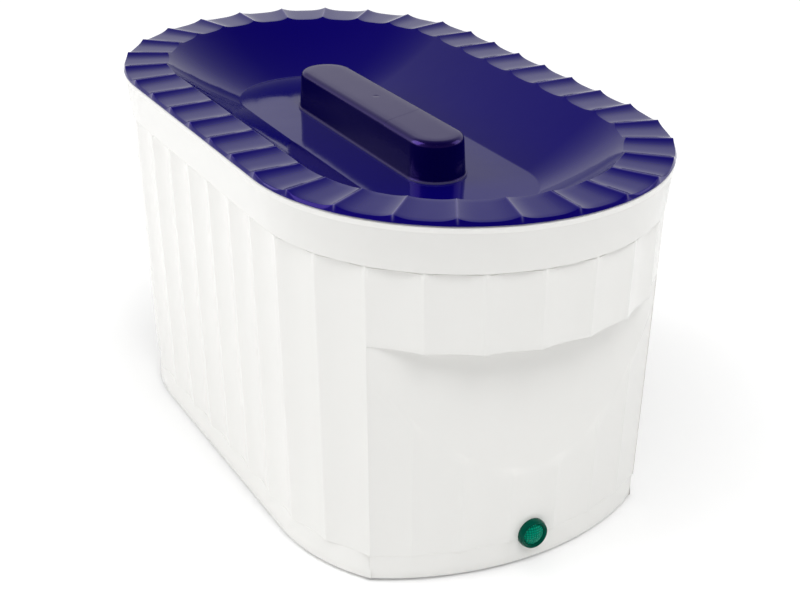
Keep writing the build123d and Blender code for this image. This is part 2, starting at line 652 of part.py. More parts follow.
def make_lamp_bezel():
    hole = LAMP_BARREL_R - CUT_OVER
    lens_edge = LAMP_LENS_R + LAMP_RING_STEP
    ring = [(hole, 0), (LAMP_RING_R, 0), (LAMP_RING_R, LAMP_RING_H - LAMP_RING_EDGE),
            (LAMP_RING_R - LAMP_RING_EDGE, LAMP_RING_H), (lens_edge, LAMP_RING_H),
            (LAMP_LENS_R, LAMP_RING_H - LAMP_RING_STEP), (LAMP_LENS_R, LAMP_RING_FLOOR),
            (hole, LAMP_RING_FLOOR)]
    return turned_y(ring, 0, lamp_face_y(), LAMP_Z)


def make_lamp_lens():
    r = LAMP_LENS_R - LAMP_LENS_GAP
    side = -LAMP_RING_H + LAMP_LENS_SINK
    crown = side - LAMP_LENS_RISE
    dome_r = (r ** 2 + LAMP_LENS_RISE ** 2) / (2 * LAMP_LENS_RISE)
    low = -LAMP_RING_FLOOR
    half = make_face([Polyline((r, side, 0), (r, low, 0), (0, low, 0), (0, crown, 0)),
                      RadiusArc((0, crown, 0), (r, side, 0), dome_r)])
    return Pos(0, lamp_face_y(), LAMP_Z) * revolve(half, Axis.Y, 360)


def make_lamp_body():
    y = lamp_face_y()
    tail = y + LAMP_BARREL_L - LAMP_TAIL_L
    barrel = along_y(0, LAMP_Z, y, tail, LAMP_BARREL_R)
    return barrel + along_y(0, LAMP_Z, tail, y + LAMP_BARREL_L, LAMP_BARREL_R - LAMP_TAIL_STEP)


def make_lamp_nut():
    y = inner_panel_y(LAMP_Z)
    nut = along_y(0, LAMP_Z, y, y + LAMP_NUT_T, LAMP_NUT_R)
    return nut - along_y(0, LAMP_Z, y - CUT_OVER, y + LAMP_NUT_T + CUT_OVER, LAMP_BARREL_R + NUT_GAP)


def make_cord_gland():
    face = gland_face_y()
    end = face + GLAND_FLANGE_T
    inside = face - GLAND_BARREL_L
    flange = along_y(0, GLAND_Z, face, end, GLAND_FLANGE_R)
    flange = chamfer(flange.edges().group_by(Axis.Y)[-1], GLAND_EDGE)
    barrel = along_y(0, GLAND_Z, inside, face, GLAND_BARREL_R)
    return flange + barrel - along_y(0, GLAND_Z, inside - CUT_OVER, end + CUT_OVER, GLAND_BORE_R)


def make_gland_nut():
    y = -inner_panel_y(GLAND_Z)
    hexagon = extrude(RegularPolygon(GLAND_NUT_R, 6), GLAND_NUT_T)
    nut = Pos(0, y, GLAND_Z) * (Rot(90, 0, 0) * hexagon)
    return nut - along_y(0, GLAND_Z, y - GLAND_NUT_T - CUT_OVER, y + CUT_OVER, GLAND_BARREL_R + NUT_GAP)


def make_terminal_block():
    front = BLOCK_Y - BLOCK_W / 2
    rear = BLOCK_Y + BLOCK_W / 2
    body = block(-BLOCK_L / 2, BLOCK_L / 2, front, rear, PLATE_TOP_Z, PLATE_TOP_Z + BLOCK_SHELF_H)
    half = BLOCK_POLE_W / 2
    for x in (-BLOCK_POLE_PITCH, 0, BLOCK_POLE_PITCH):
        body += block(x - half, x + half, front, rear, PLATE_TOP_Z, PLATE_TOP_Z + BLOCK_H)
    for x in (-BLOCK_SCREW_X, BLOCK_SCREW_X):
        body -= upright(x, BLOCK_Y, PLATE_TOP_Z, PLATE_TOP_Z + BLOCK_H, SCREW_R + SCREW_HOLE_GAP)
    return body


def make_block_screws():
    seat = PLATE_TOP_Z + BLOCK_SHELF_H
    screws = []
    for x in (-BLOCK_SCREW_X, BLOCK_SCREW_X):
        head = upright(x, BLOCK_Y, seat, seat + BLOCK_SCREW_HEAD_H, BLOCK_SCREW_HEAD_R)
        screws.append(head + upright(x, BLOCK_Y, PLATE_TOP_Z, seat, SCREW_R))
    return screws


def make_earth_stud():
    head = upright(EARTH_X, EARTH_Y, PLATE_TOP_Z, PLATE_TOP_Z + EARTH_HEAD_H, EARTH_NUT_R)
    return head + upright(EARTH_X, EARTH_Y, PLATE_TOP_Z, PLATE_TOP_Z + EARTH_H, EARTH_R)


def make_earth_nut():
    low = PLATE_TOP_Z + EARTH_HEAD_H
    nut = Pos(EARTH_X, EARTH_Y, low + TAB_T) * extrude(RegularPolygon(EARTH_NUT_R, 6), EARTH_NUT_H)
    half = EARTH_TAG_W / 2
    tag = block(EARTH_X - EARTH_TAG_L, EARTH_X + half, EARTH_Y - half, EARTH_Y + half, low, low + TAB_T)
    return nut + tag - upright(EARTH_X, EARTH_Y, PLATE_TOP_Z, PLATE_TOP_Z + EARTH_H, EARTH_R + NUT_GAP)


def lead(*points):
    """Wire along straight runs joined by arcs, with a many-sided section."""
    path = FilletPolyline(*points, radius=LEAD_BEND_R)
    start = Plane(path @ 0, z_dir=path % 0)
    return sweep(start * RegularPolygon(LEAD_R, LEAD_SIDES), path)


def make_heater_leads():
    z = TAB_Z + TAB_T / 2
    block_z = PLATE_TOP_Z + BLOCK_H / 2
    block_y = BLOCK_Y - BLOCK_W / 2
    thermo_rear = THERMO_Y + THERMO_W / 2 + TAB_L
    thermo_front = THERMO_Y - THERMO_W / 2 - TAB_L
    cutout_rear = CUTOUT_Y + CUTOUT_R - CUTOUT_TAB_INSET + TAB_L
    cutout_front = CUTOUT_Y - CUTOUT_R + CUTOUT_TAB_INSET - TAB_L
    middle = (thermo_front + cutout_rear) / 2
    bend_y = block_y - LEAD_OUT
    feed_y = cutout_front - FEED_TURN
    back_y = block_y - BACK_TURN
    low = z - LEAD_LIFT
    high = block_z + LEAD_LIFT
    live = lead((0, block_y, block_z), (0, bend_y, block_z), (0, thermo_rear + LEAD_TAB_RUN, z),
                (0, thermo_rear, z))
    link = lead((0, thermo_front, z), (0, middle + LINK_HALF_SAG, z), (0, middle, z - LEAD_BEND_R),
                (0, middle - LINK_HALF_SAG, z), (0, cutout_rear, z))
    feed = lead((0, cutout_front, z), (0, cutout_front - FEED_OUT, z), (FEED_BEND_X, feed_y, low),
                (LEAD_FEED_X, feed_y, low), (LEAD_FEED_X, feed_y, PAD_LOW_Z))
    back = lead((BLOCK_POLE_PITCH, block_y, block_z), (BLOCK_POLE_PITCH, bend_y, block_z),
                (LEAD_LANE_X, bend_y - LEAD_OUT, high), (LEAD_LANE_X, back_y, high),
                (LEAD_LANE_X, back_y, PAD_LOW_Z))
    return [live, link, feed, back]


def make_lamp_leads():
    start_y = lamp_face_y() + LAMP_BARREL_L
    block_y = BLOCK_Y - BLOCK_W / 2
    block_z = PLATE_TOP_Z + BLOCK_H / 2 - LAMP_LEAD_DROP
    low = PLATE_TOP_Z + LEAD_R + LEAD_FLOOR_GAP
    pair = []
    for side in (-1, 1):
        x = side * LAMP_LEAD_X
        lane = side * LAMP_LANE_X
        end = side * (BLOCK_POLE_PITCH - CUT_OVER)
        pair.append(lead((x, start_y, LAMP_Z), (x, start_y + LAMP_LEAD_OUT, LAMP_Z),
                         (lane, start_y + LAMP_LEAD_FALL, low), (lane, block_y - LAMP_LEAD_RISE, low),
                         (end, block_y - LAMP_LEAD_IN, block_z), (end, block_y, block_z)))
    return pair


def make_lid_shell():
    brim = HALF_WIDTH - RIM_BAND
    under_r = brim + LID_SHOULDER
    skirt_inner = SKIRT_R - SKIRT_WALL
    skirt_low = LID_SEAT_Z - SKIRT_DEPTH
    run = brim - DISH_FLOOR_R
    length = math.hypot(DISH_DEPTH, run)
    out_r, out_z = DISH_DEPTH / length, -run / length
    hollow_r = (brim + DISH_FLOOR_R) / 2 + DISH_WALL_HOLLOW * out_r
    hollow_z = (HEIGHT + DISH_FLOOR_Z) / 2 + DISH_WALL_HOLLOW * out_z
    under_hollow = (hollow_r + LID_WALL * out_r, 0, hollow_z + LID_WALL * out_z)
    under_edge = (DISH_FLOOR_R, 0, DISH_UNDER_Z)
    lines = [Polyline((0, 0, DISH_UNDER_Z), under_edge),
             ThreePointArc(under_edge, under_hollow, (under_r, 0, LID_SEAT_Z)),
             Polyline((under_r, 0, LID_SEAT_Z), (skirt_inner, 0, LID_SEAT_Z), (skirt_inner, 0, skirt_low),
                      (SKIRT_R, 0, skirt_low), (SKIRT_R, 0, LID_SEAT_Z), (EDGE_R, 0, LID_SEAT_Z),
                      (HALF_WIDTH, 0, HEIGHT), (brim, 0, HEIGHT)),
             ThreePointArc((brim, 0, HEIGHT), (hollow_r, 0, hollow_z), (DISH_FLOOR_R, 0, DISH_FLOOR_Z)),
             Polyline((DISH_FLOOR_R, 0, DISH_FLOOR_Z), (0, 0, DISH_FLOOR_Z), (0, 0, DISH_UNDER_Z))]
    shell = run_round(make_face(lines))
    shell -= [scallop(k) for k in range(2 * (END_FLUTES + SIDE_FLUTES))]
    for y in (-HANDLE_SCREW_Y, HANDLE_SCREW_Y):
        shell -= upright(0, y, DISH_UNDER_Z - CUT_OVER, DISH_FLOOR_Z + CUT_OVER, SCREW_R + SCREW_HOLE_GAP)
    return shell


def scallop_face(k, r, dip):
    """Upright face across one scallop: a hollow arc between two ridges and room above it."""
    z = HEIGHT + RIDGE_CREST
    ax, ay = station(k, r)
    bx, by = station(k + 1, r)
    mx, my = (ax + bx) / 2, (ay + by) / 2
    top = z + CUT_OVER
    arc = ThreePointArc((ax, ay, z), (mx, my, z - dip), (bx, by, z))
    sides = Polyline((bx, by, z), (bx, by, top), (ax, ay, top), (ax, ay, z))
    return make_face([arc, sides])


def scallop(k):
    """Hollow that one scallop cuts out of the rim, from outside its edge to inside the dish wall."""
    inner = HALF_WIDTH - RIM_BAND
    slope = (SCALLOP_INNER_DIP - SCALLOP_OUTER_DIP) / RIM_BAND
    out_r = EDGE_R + SCALLOP_REACH_OUT
    in_r = inner - SCALLOP_REACH_IN
    out_dip = SCALLOP_OUTER_DIP - slope * (out_r - HALF_WIDTH)
    in_dip = SCALLOP_INNER_DIP + slope * (inner - in_r)
    return loft([scallop_face(k, in_r, in_dip), scallop_face(k, out_r, out_dip)], ruled=True)


def handle_block(r, z, height):
    """Drafted bar with half-round ends."""
    bar = SlotCenterToCenter(2 * HANDLE_HALF_STRAIGHT, 2 * r, rotation=90)
    return extrude(Pos(0, 0, z) * bar, height, taper=HANDLE_DRAFT)


def make_lid_handle():
    outer = handle_block(HANDLE_R, DISH_FLOOR_Z, HANDLE_HEIGHT)
    outer = fillet(outer.faces().sort_by(Axis.Z)[-1].edges(), HANDLE_EDGE_R)
    foot = SlotCenterToCenter(2 * HANDLE_HALF_STRAIGHT, 2 * (HANDLE_R + HANDLE_LIP), rotation=90)
    lip = extrude(Pos(0, 0, DISH_FLOOR_Z) * foot, HANDLE_LIP_H)
    inner = handle_block(HANDLE_R - HANDLE_WALL, DISH_FLOOR_Z, HANDLE_HEIGHT - HANDLE_WALL)
    handle = outer + lip - inner
    top = DISH_FLOOR_Z + HANDLE_HEIGHT - HANDLE_WALL / 2
    for y in (-HANDLE_SCREW_Y, HANDLE_SCREW_Y):
        handle += upright(0, y, DISH_FLOOR_Z, top, BOSS_R)
        handle -= upright(0, y, DISH_FLOOR_Z, DISH_FLOOR_Z + HANDLE_HOLE_DEPTH, SCREW_R + SCREW_HOLE_GAP)
    return handle


def make_handle_screws():
    head_low = DISH_UNDER_Z - SCREW_HEAD_H
    return [screw(0, y, head_low, LID_WALL + HANDLE_GRIP) for y in (-HANDLE_SCREW_Y, HANDLE_SCREW_Y)]


def write(name, shape):
    """Write one piece, or a group of like pieces, under its name."""
    solids = []
    for item in shape if isinstance(shape, list) else [shape]:
        solids += item.solids()
    piece = solids[0] if len(solids) == 1 else Compound(children=solids)
    export_step(piece, f"parts/{name}.step")


os.makedirs("parts", exist_ok=True)
band_low = TANK_FLOOR_Z + BAND_LOW
wrap_top = LEDGE_TOP_Z - LEDGE_T - WRAP_TOP_GAP
write("housing", make_housing())
write("tank", make_tank())
write("tank_seal", make_tank_seal())
write("tank_grille", make_grille())
write("heater_mat", make_heater_mat())
write("heater_band", sleeve(band_low, band_low + BAND_H, 0, BAND_T))
write("insulation_pad", make_insulation_pad())
write("insulation_wrap", sleeve(band_low - WRAP_OVERLAP, wrap_top, BAND_T, WRAP_T))
write("thermostat_body", make_thermostat_body())
write("thermostat_spindle", make_thermostat_spindle())
write("thermal_cutout", make_thermal_cutout())
write("base_plate", make_base_plate())
write("base_screws", make_base_screws())
write("foot_screws", make_foot_screws())
feet = ("front_left_foot", "front_right_foot", "rear_left_foot", "rear_right_foot")
for name, (x, y) in zip(feet, foot_places()):
    write(name, make_foot(x, y))
write("lamp_bezel", make_lamp_bezel())
write("lamp_lens", make_lamp_lens())
write("lamp_body", make_lamp_body())
write("lamp_nut", make_lamp_nut())
write("lamp_leads", make_lamp_leads())
write("heater_leads", make_heater_leads())
write("cord_gland", make_cord_gland())
write("gland_nut", make_gland_nut())
write("terminal_block", make_terminal_block())
write("block_screws", make_block_screws())
write("earth_stud", make_earth_stud())
write("earth_nut", make_earth_nut())
write("lid_shell", make_lid_shell())
write("lid_handle", make_lid_handle())
write("handle_screws", make_handle_screws())
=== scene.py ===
"""Looks of the paraffin bath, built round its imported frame: lid, handle, housing, lamp, inside and stage."""

import math

import bmesh
import bpy
import numpy as np
from bpy.props import FloatProperty, FloatVectorProperty, PointerProperty
from mathutils import Matrix, Vector


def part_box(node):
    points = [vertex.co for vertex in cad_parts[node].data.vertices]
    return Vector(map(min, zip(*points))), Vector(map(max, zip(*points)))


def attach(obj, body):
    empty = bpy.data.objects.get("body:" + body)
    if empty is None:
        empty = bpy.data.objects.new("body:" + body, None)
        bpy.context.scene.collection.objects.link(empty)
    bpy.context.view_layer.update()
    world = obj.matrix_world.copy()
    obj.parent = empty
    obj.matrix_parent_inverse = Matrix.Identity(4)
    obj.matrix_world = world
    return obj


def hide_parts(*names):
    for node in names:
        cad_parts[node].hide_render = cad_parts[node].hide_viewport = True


bl_info = {
    "name": "Paraffin bath",
    "version": (1, 0, 0),
    "blender": (4, 5, 0),
    "location": "View3D > Sidebar > Bath",
    "description": "Builds a heated wax bath with a fluted housing and a scalloped lid",
    "category": "Object",
}

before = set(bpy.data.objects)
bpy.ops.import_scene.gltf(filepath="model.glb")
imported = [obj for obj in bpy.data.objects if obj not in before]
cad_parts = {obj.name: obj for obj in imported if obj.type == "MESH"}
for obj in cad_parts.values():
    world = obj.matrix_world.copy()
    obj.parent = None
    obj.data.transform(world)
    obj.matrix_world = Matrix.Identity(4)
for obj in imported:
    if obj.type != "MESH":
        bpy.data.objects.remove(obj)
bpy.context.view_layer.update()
LID_LOW, LID_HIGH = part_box("lid_shell")
HANDLE_LOW, HANDLE_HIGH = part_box("lid_handle")
HOUSING_LOW, HOUSING_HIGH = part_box("housing")
RING_LOW, RING_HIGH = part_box("lamp_bezel")
LENS_LOW, LENS_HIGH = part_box("lamp_lens")

MM = 0.001
TINY = 1e-9
HALF_STRAIGHT = LID_HIGH.y - LID_HIGH.x
END_FLUTES = 12
SIDE_FLUTES = 6
STATIONS = 2 * (END_FLUTES + SIDE_FLUTES)
RECESS_FLUTES = 7
LID_FLATNESS = 3.2        # power that flattens the scallops between their ridges
BRIM_HALVINGS = 30        # steps that find where the dish wall meets the rim
CREST_BAND = 0.8 * MM     # only points this close to the lid's top can be on a ridge
ROUND_STEPS = 4           # spans on each rounded corner of a profile
RIDGE_STEPS = 10          # columns from a ridge to the middle of its flute
RIDGE_CROWDING = 2.0      # columns stand closer towards the ridges
HANDLE_STEPS = 12         # columns of the handle for each station
TURNED_STEPS = 96         # columns round a turned piece
SCREW_STEPS = 48          # columns round a screw
SCREW_APART = 8 * MM      # points closer than this in plan belong to one screw
HEAD_SHARE = 0.75         # points further out than this, in shares of the head's radius, are the head's
SLOT_HALF_WIDTH = 0.17    # the recess's arms, in shares of the head's radius
SLOT_REACH = 0.62
SLOT_DEPTH = 0.55         # in shares of the head's height
WELD_DISTANCE = 0.004 * MM
SHARP_ANGLE = math.radians(38)
HANDLE_WELD_Y = -30.2 * MM
HANDLE_WELD_SLOPE = 0.37
HANDLE_GATE_X = 2.2 * MM
HANDLE_GATE_Y = 6.4 * MM
VIOLET_GLINT = (0.3, 0.15, 1.0, 1.0)
# paler violet of the painted highlights on the lid's ridges and the handle's lip
PAINTED_HIGHLIGHT_VIOLET = (0.26, 0.24, 0.42)
GREEN_GLINT = (0.05, 0.8, 0.55, 1.0)
MOTTLE_SCALE = 14.0       # waves per metre in moulded plastic
HANDLED_SCALE = 45.0
RIPPLE_SCALE = 320.0
FLOOR_REACH = 12.0
FLOOR_RINGS = (0.12, 0.36, 2.5)   # distances between which the floor's glow grows
LAMPS = {                         # place and side of each lamp
    "key": ((-1.27, 0.6, 1.1), 1.3),
    "fill": ((1.4, -0.5, 0.9), 1.0),
    "overhead": ((-0.1, -0.85, 1.3), 0.6),
}
LAMP_AIM = (0.0, 0.0, 0.1)
MIRRORED_TOP = (0.3, 0.85, 0.68, 0.176)   # heights and the world's brightness there, in reflections
MIRRORED_FRONT = (-0.6, 0.3, 0.3, 1.0)    # the same from the front to the back, as a share
CAMERA_RIGHT = (0.87673702, -0.48094558, 0.00485244)
CAMERA_UP = (0.20392543, 0.38084403, 0.90187152)
CAMERA_BACK = (-0.43559915, -0.78971461, 0.4319771)
SENSOR_WIDTH = 36.0


def length(name, description, default):
    """A size in metres that a user would change."""
    return FloatProperty(name=name, description=description, default=default, unit="LENGTH", precision=4)


def colour(name, description, default):
    """A linear colour that a user would change."""
    return FloatVectorProperty(name=name, description=description, default=default, subtype="COLOR",
                               min=0, max=1)


def number(name, description, default, **kind):
    """A plain number or an angle that a user would change."""
    return FloatProperty(name=name, description=description, default=default, **kind)


class LidSettings(bpy.types.PropertyGroup):
    """Sizes and colours of the lid and its handle."""

    rim_edge: length("Rim edge", "Height of the rim's outer edge", 4.0 * MM)
    rim_flare: length("Rim flare", "The edge's foot stands this far outside its top", 1.0 * MM)
    rim_band: length("Rim band", "Width of the scalloped band", 24.2 * MM)
    outer_dip: length("Outer dip", "Depth of a scallop at the edge", 2.0 * MM)
    inner_dip: length("Inner dip", "Depth of a scallop at the brim of the dish", 1.5 * MM)
    floor_half_width: length("Floor half width", "Half width of the flat dish floor", 45.5 * MM)
    wall: length("Wall", "Thickness of the moulding", 2.8 * MM)
    wall_hollow: length("Wall hollow", "Sag of the dish wall below a straight slope", 1.8 * MM)
    shoulder: length("Shoulder", "The underside meets the seat this far outside the dish", 4.2 * MM)
    skirt_outer: length("Skirt", "Outer half width of the skirt", 109.0 * MM)
    skirt_wall: length("Skirt wall", "Thickness of the skirt", 2.4 * MM)
    skirt_depth: length("Skirt depth", "Height of the skirt", 8.0 * MM)
    ridge_round: length("Ridge rounding", "Softness of the ridges between scallops", 0.25 * MM)
    ridge_bead: length("Ridge bead", "Height of the fine bead on each ridge", 0.15 * MM)
    ridge_bead_width: length("Ridge bead width", "Half width of that bead", 0.45 * MM)
    handle_lip: length("Handle lip", "Width of the bead round the handle's foot", 0.8 * MM)
    handle_lip_height: length("Handle lip height", "Height of that bead", 1.2 * MM)
    handle_edge: length("Handle edge", "Rounding of the handle's top edge", 3.5 * MM)
    handle_draft: number("Handle draft", "Lean of the handle's sides", math.radians(3.5), unit="ROTATION")
    lid_colour: colour("Lid colour", "Violet of the lid", (0.002, 0.0004, 0.115))
    handle_colour: colour("Handle colour", "Violet of the handle", (0.001, 0.0002, 0.034))


class HousingSettings(bpy.types.PropertyGroup):
    """Sizes and colours of the housing."""

    wall: length("Wall", "Thickness of the moulding", 3.0 * MM)
    bead_height: length("Bead height", "Height of the bead under the lid", 4.2 * MM)
    bead_edge: length("Bead edge", "Rounding of the bead", 0.8 * MM)
    collar_height: length("Collar height", "Height of the smooth collar", 20.5 * MM)
    collar_top: length("Collar top", "Half width of the collar at its top", 113.0 * MM)
    collar_draft: length("Collar draft", "The collar narrows by this much", 2.1 * MM)
    ridge_inset: length("Ridge inset", "The ridges start this far inside the collar's foot", 0.1 * MM)
    groove_height: length("Groove height", "Height of the gap over each flute", 0.8 * MM)
    groove_depth: length("Groove depth", "Depth of that gap in the middle", 1.2 * MM)
    flute_draft: number("Flute draft", "Slope of the fluted walls' inward lean", 0.0288)
    flute_dip: length("Flute dip", "Depth of a flute", 2.2 * MM)
    flute_round: length("Flute rounding", "Softness of the ridges between flutes", 1.1 * MM)
    base_top: length("Base band top", "Height of the top of the base band", 16.4 * MM)
    base_flare: length("Base band flare", "The band widens by this much to its foot", 1.0 * MM)
    base_step: length("Base step", "The band stands this far outside the flutes' hollows", 0.2 * MM)
    recess_top: length("Recess top", "Height of the overhang's underside", 139.6 * MM)
    recess_set_back: length("Recess set-back", "Depth of the hand-hold at the nose", 17.8 * MM)
    panel_dip: length("Panel dip", "Depth of the flutes inside the recess", 1.2 * MM)
    scoop_sink: length("Scoop sink", "The scoop lies this far behind those flutes", 0.2 * MM)
    scoop_low: length("Scoop low point", "Height of the lowest point of the scoop", 58.0 * MM)
    scoop_side: length("Scoop side", "Height of the scoop's boundary at the sides", 124.0 * MM)
    scoop_round: length("Scoop rounding", "Half width of the scoop's soft boundary", 3.0 * MM)
    crease: length("Crease", "Depth of the crease at the recess's sides", 0.4 * MM)
    ledge_seat: length("Ledge", "Inner half width of the tank's ledge", 98.0 * MM)
    ledge_top: length("Ledge top", "Height of the tank's ledge", 194.0 * MM)
    ledge_thickness: length("Ledge thickness", "Thickness of the tank's ledge", 3.0 * MM)
    colour: colour("Housing colour", "Warm white of the housing", (0.88, 0.875, 0.85))


class LampSettings(bpy.types.PropertyGroup):
    """Sizes and colours of the pilot lamp."""

    ring_side: length("Ring side", "Height of the ring's straight side", 1.9 * MM)
    ring_slope: length("Ring slope", "Width of the ring's sloping shoulder", 0.7 * MM)
    ring_face: length("Ring face", "Width of the ring's flat face", 0.6 * MM)
    groove: length("Groove", "Depth of the groove between ring and lens", 1.0 * MM)
    prism_pitch: length("Prism pitch", "Spacing of the lens's prisms", 1.3 * MM)
    prism_height: length("Prism height", "Height of the lens's prisms", 0.28 * MM)
    lens_colour: colour("Lens colour", "Green of the lens", (0.0, 0.28, 0.17))
    ring_colour: colour("Ring colour", "Green of the ring", (0.0, 0.062, 0.04))


class InsideSettings(bpy.types.PropertyGroup):
    """Colours of the pieces under the lid and under the bath."""

    tank: colour("Tank", "Drawn aluminium of the tank", (0.80, 0.80, 0.81))
    grille: colour("Grille", "White of the tank's grille", (0.80, 0.80, 0.785))
    seal: colour("Seal", "Clear silicone of the seal", (0.62, 0.60, 0.55))
    zinc: colour("Zinc", "Zinc on the base plate and the screws", (0.60, 0.61, 0.64))
    brass: colour("Brass", "Brass of the spindle and the stud", (0.78, 0.56, 0.25))
    heater: colour("Heater", "Silicone sheet of the heaters", (0.42, 0.10, 0.035))
    felt: colour("Felt", "Felt round the tank", (0.62, 0.60, 0.53))
    switch: colour("Switch", "Black moulding of switches and gland", (0.018, 0.018, 0.020))
    block: colour("Block", "White of the terminal block", (0.72, 0.72, 0.68))
    wire: colour("Wire", "Grey sleeve of the leads", (0.30, 0.30, 0.31))
    rubber: colour("Rubber", "Black of the feet", (0.016, 0.016, 0.017))


class StageSettings(bpy.types.PropertyGroup):
    """Camera, lamps and floor."""

    camera_place: FloatVectorProperty(name="Camera place", description="Where the camera stands",
                                      default=(-0.37273, -0.70291, 0.46254), subtype="TRANSLATION",
                                      unit="LENGTH")
    camera_lens: number("Lens", "Focal length on a 36 mm sensor, in millimetres", 65.92)
    world_strength: number("World strength", "Light from all round", 0.42)
    key_power: number("Key power", "Power of the large lamp behind left, in watts", 13.8)
    fill_power: number("Fill power", "Power of the lamp at the right, in watts", 4.0)
    overhead_power: number("Overhead power", "Power of the lamp above the front, in watts", 8.2)
    floor_colour: colour("Floor colour", "Colour of the floor", (0.95, 0.95, 0.95))
    floor_glow: number("Floor glow", "Brightness added to the floor by the bath", 0.07)
    floor_mid_glow: number("Middle floor glow", "Brightness added to the floor further out", 0.36)
    floor_far_glow: number("Far floor glow", "Brightness added to the floor far away", 0.62)


class Link:
    """An output of a finish's node tree, which can be used in sums."""

    def __init__(self, finish, socket):
        self.finish = finish
        self.socket = socket

    def sum(self, operation, *values):
        """Result of a Math node on these values."""
        return self.finish.node("ShaderNodeMath", {"operation": operation}, dict(enumerate(values)))

    def sine(self):
        return self.sum("SINE", self)

    def __add__(self, other):
        return self.sum("ADD", self, other)

    def __radd__(self, other):
        return self.sum("ADD", other, self)

    def __sub__(self, other):
        return self.sum("SUBTRACT", self, other)

    def __rsub__(self, other):
        return self.sum("SUBTRACT", other, self)

    def __mul__(self, other):
        return self.sum("MULTIPLY", self, other)

    def __rmul__(self, other):
        return self.sum("MULTIPLY", other, self)

    def __abs__(self):
        return self.sum("ABSOLUTE", self)


class Finish:
    """The node tree of a new material or world, and the methods that add its nodes."""

    def __init__(self, name, kind="materials"):
        self.owner = getattr(bpy.data, kind).new(name)
        self.owner.use_nodes = True
        self.tree = self.owner.node_tree
        self.tree.nodes.clear()

    def node(self, kind, settings=None, inputs=None, output=0):
        """Adds a node, sets it up, then fills its sockets with values or links; returns one output."""
        made = self.tree.nodes.new(kind)
        for key, value in (settings or {}).items():
            setattr(made, key, value)
        for key, value in (inputs or {}).items():
            if isinstance(value, Link):
                self.tree.links.new(value.socket, made.inputs[key])
            else:
                made.inputs[key].default_value = value
        return Link(self, made.outputs[output]) if made.outputs else None

    def outlets(self, kind, names, inputs=None):
        """Adds a node and returns several of its outputs."""
        made = self.node(kind, None, inputs).socket.node
        return [Link(self, made.outputs[name]) for name in names]

    def place(self):
        """Object coordinates."""
        return self.node("ShaderNodeTexCoord", output="Object")

    def axes(self):
        """Object coordinates one by one."""
        return self.outlets("ShaderNodeSeparateXYZ", "XYZ", {0: self.place()})

    def ramp(self, value, start, end, low, high):
        """low where a value is at start, which changes evenly to high at end."""
        return self.node("ShaderNodeMapRange", None, {0: value, 1: start, 2: end, 3: low, 4: high})

    def fade(self, value, start, end):
        """1 where a value is at start, which falls softly to 0 at end."""
        return self.node("ShaderNodeMapRange", {"interpolation_type": "SMOOTHSTEP"},
                         {0: value, 1: start, 2: end, 3: 1.0, 4: 0.0})

    def dent(self, centre, radius):
        """1 at a place, which falls softly to 0 at a radius."""
        return self.fade(self.distance(centre), 0.0, radius)

    def distance(self, centre):
        """Distance from a place."""
        return self.node("ShaderNodeVectorMath", {"operation": "DISTANCE"}, {0: self.place(), 1: centre},
                         output="Value")

    def noise(self, scale, detail=2.0, stretch=None):
        """Noise value at a scale given in waves per metre; stretch squeezes it along the axes."""
        where = self.place()
        if stretch:
            where = self.node("ShaderNodeVectorMath", {"operation": "MULTIPLY"}, {0: where, 1: stretch})
        return self.node("ShaderNodeTexNoise", None, {"Vector": where, "Scale": scale, "Detail": detail})

    def mix(self, first, second, factor):
        """Colour between two colours."""
        return self.node("ShaderNodeMix", {"data_type": "RGBA"}, {0: factor, 6: first, 7: second}, output=2)

    def bump(self, height, distance):
        """Normal bent by a height value; distance is in metres."""
        return self.node("ShaderNodeBump", None, {"Height": height, "Distance": distance})

    def surface(self, **inputs):
        """Finishes the material with a Principled shader; socket names are given with underscores."""
        values = {key.replace("_", " "): value for key, value in inputs.items()}
        return self.end(self.node("ShaderNodeBsdfPrincipled", None, values))

    def end(self, shader, output="ShaderNodeOutputMaterial"):
        """Links a shader to the output; returns the material or world."""
        self.node(output, None, {"Surface": shader})
        return self.owner


def opaque(tone, shade=1.0):
    """Four numbers of a colour, darker by shade."""
    return (tone[0] * shade, tone[1] * shade, tone[2] * shade, 1.0)


def moulded(name, tone, roughness, mottle=0.06, grain=0.004 * MM, grain_scale=2600.0, glint=(1, 1, 1, 1),
            ior=1.5):
    """Moulded plastic or rubber: faint flow mottling, uneven gloss and a fine skin."""
    finish = Finish(name)
    cloud = finish.noise(MOTTLE_SCALE, 3.0)
    skin = finish.noise(grain_scale, 2.0)
    handled = finish.noise(HANDLED_SCALE, 4.0)
    tint = finish.mix(opaque(tone, 1 - mottle), opaque(tone, 1 + mottle), cloud)
    rough = roughness + (handled - 0.5) * roughness * 0.35
    wave = skin + finish.noise(RIPPLE_SCALE, 1.0) * 0.6
    return finish.surface(Base_Color=tint, Roughness=rough, Normal=finish.bump(wave, grain), IOR=ior,
                          Specular_Tint=glint)


def metal(name, tone, roughness, streak=(1.0, 1.0, 1.0), spangle=0.10):
    """Bare or plated metal: cloudy tone, with gloss and skin that follow the streaks of its working."""
    finish = Finish(name)
    cloud = finish.noise(35.0, 4.0)
    lines = finish.noise(160.0, 3.0, streak)
    tint = finish.mix(opaque(tone, 1 - spangle), opaque(tone, 1 + spangle), cloud)
    rough = roughness + (lines - 0.5) * roughness * 0.8
    return finish.surface(Base_Color=tint, Metallic=1.0, Roughness=rough,
                          Normal=finish.bump(lines, 0.02 * MM))


def felt(name, tone):
    """Pressed fibre mat: cloudy tone and a matt, tufted face."""
    finish = Finish(name)
    cloud = finish.noise(70.0, 4.0)
    tufts = finish.noise(700.0, 5.0)
    tint = finish.mix(opaque(tone, 0.72), opaque(tone, 1.12), cloud * 0.6 + tufts * 0.4)
    return finish.surface(Base_Color=tint, Roughness=0.95, Sheen_Weight=0.3,
                          Normal=finish.bump(tufts + cloud, 0.5 * MM))


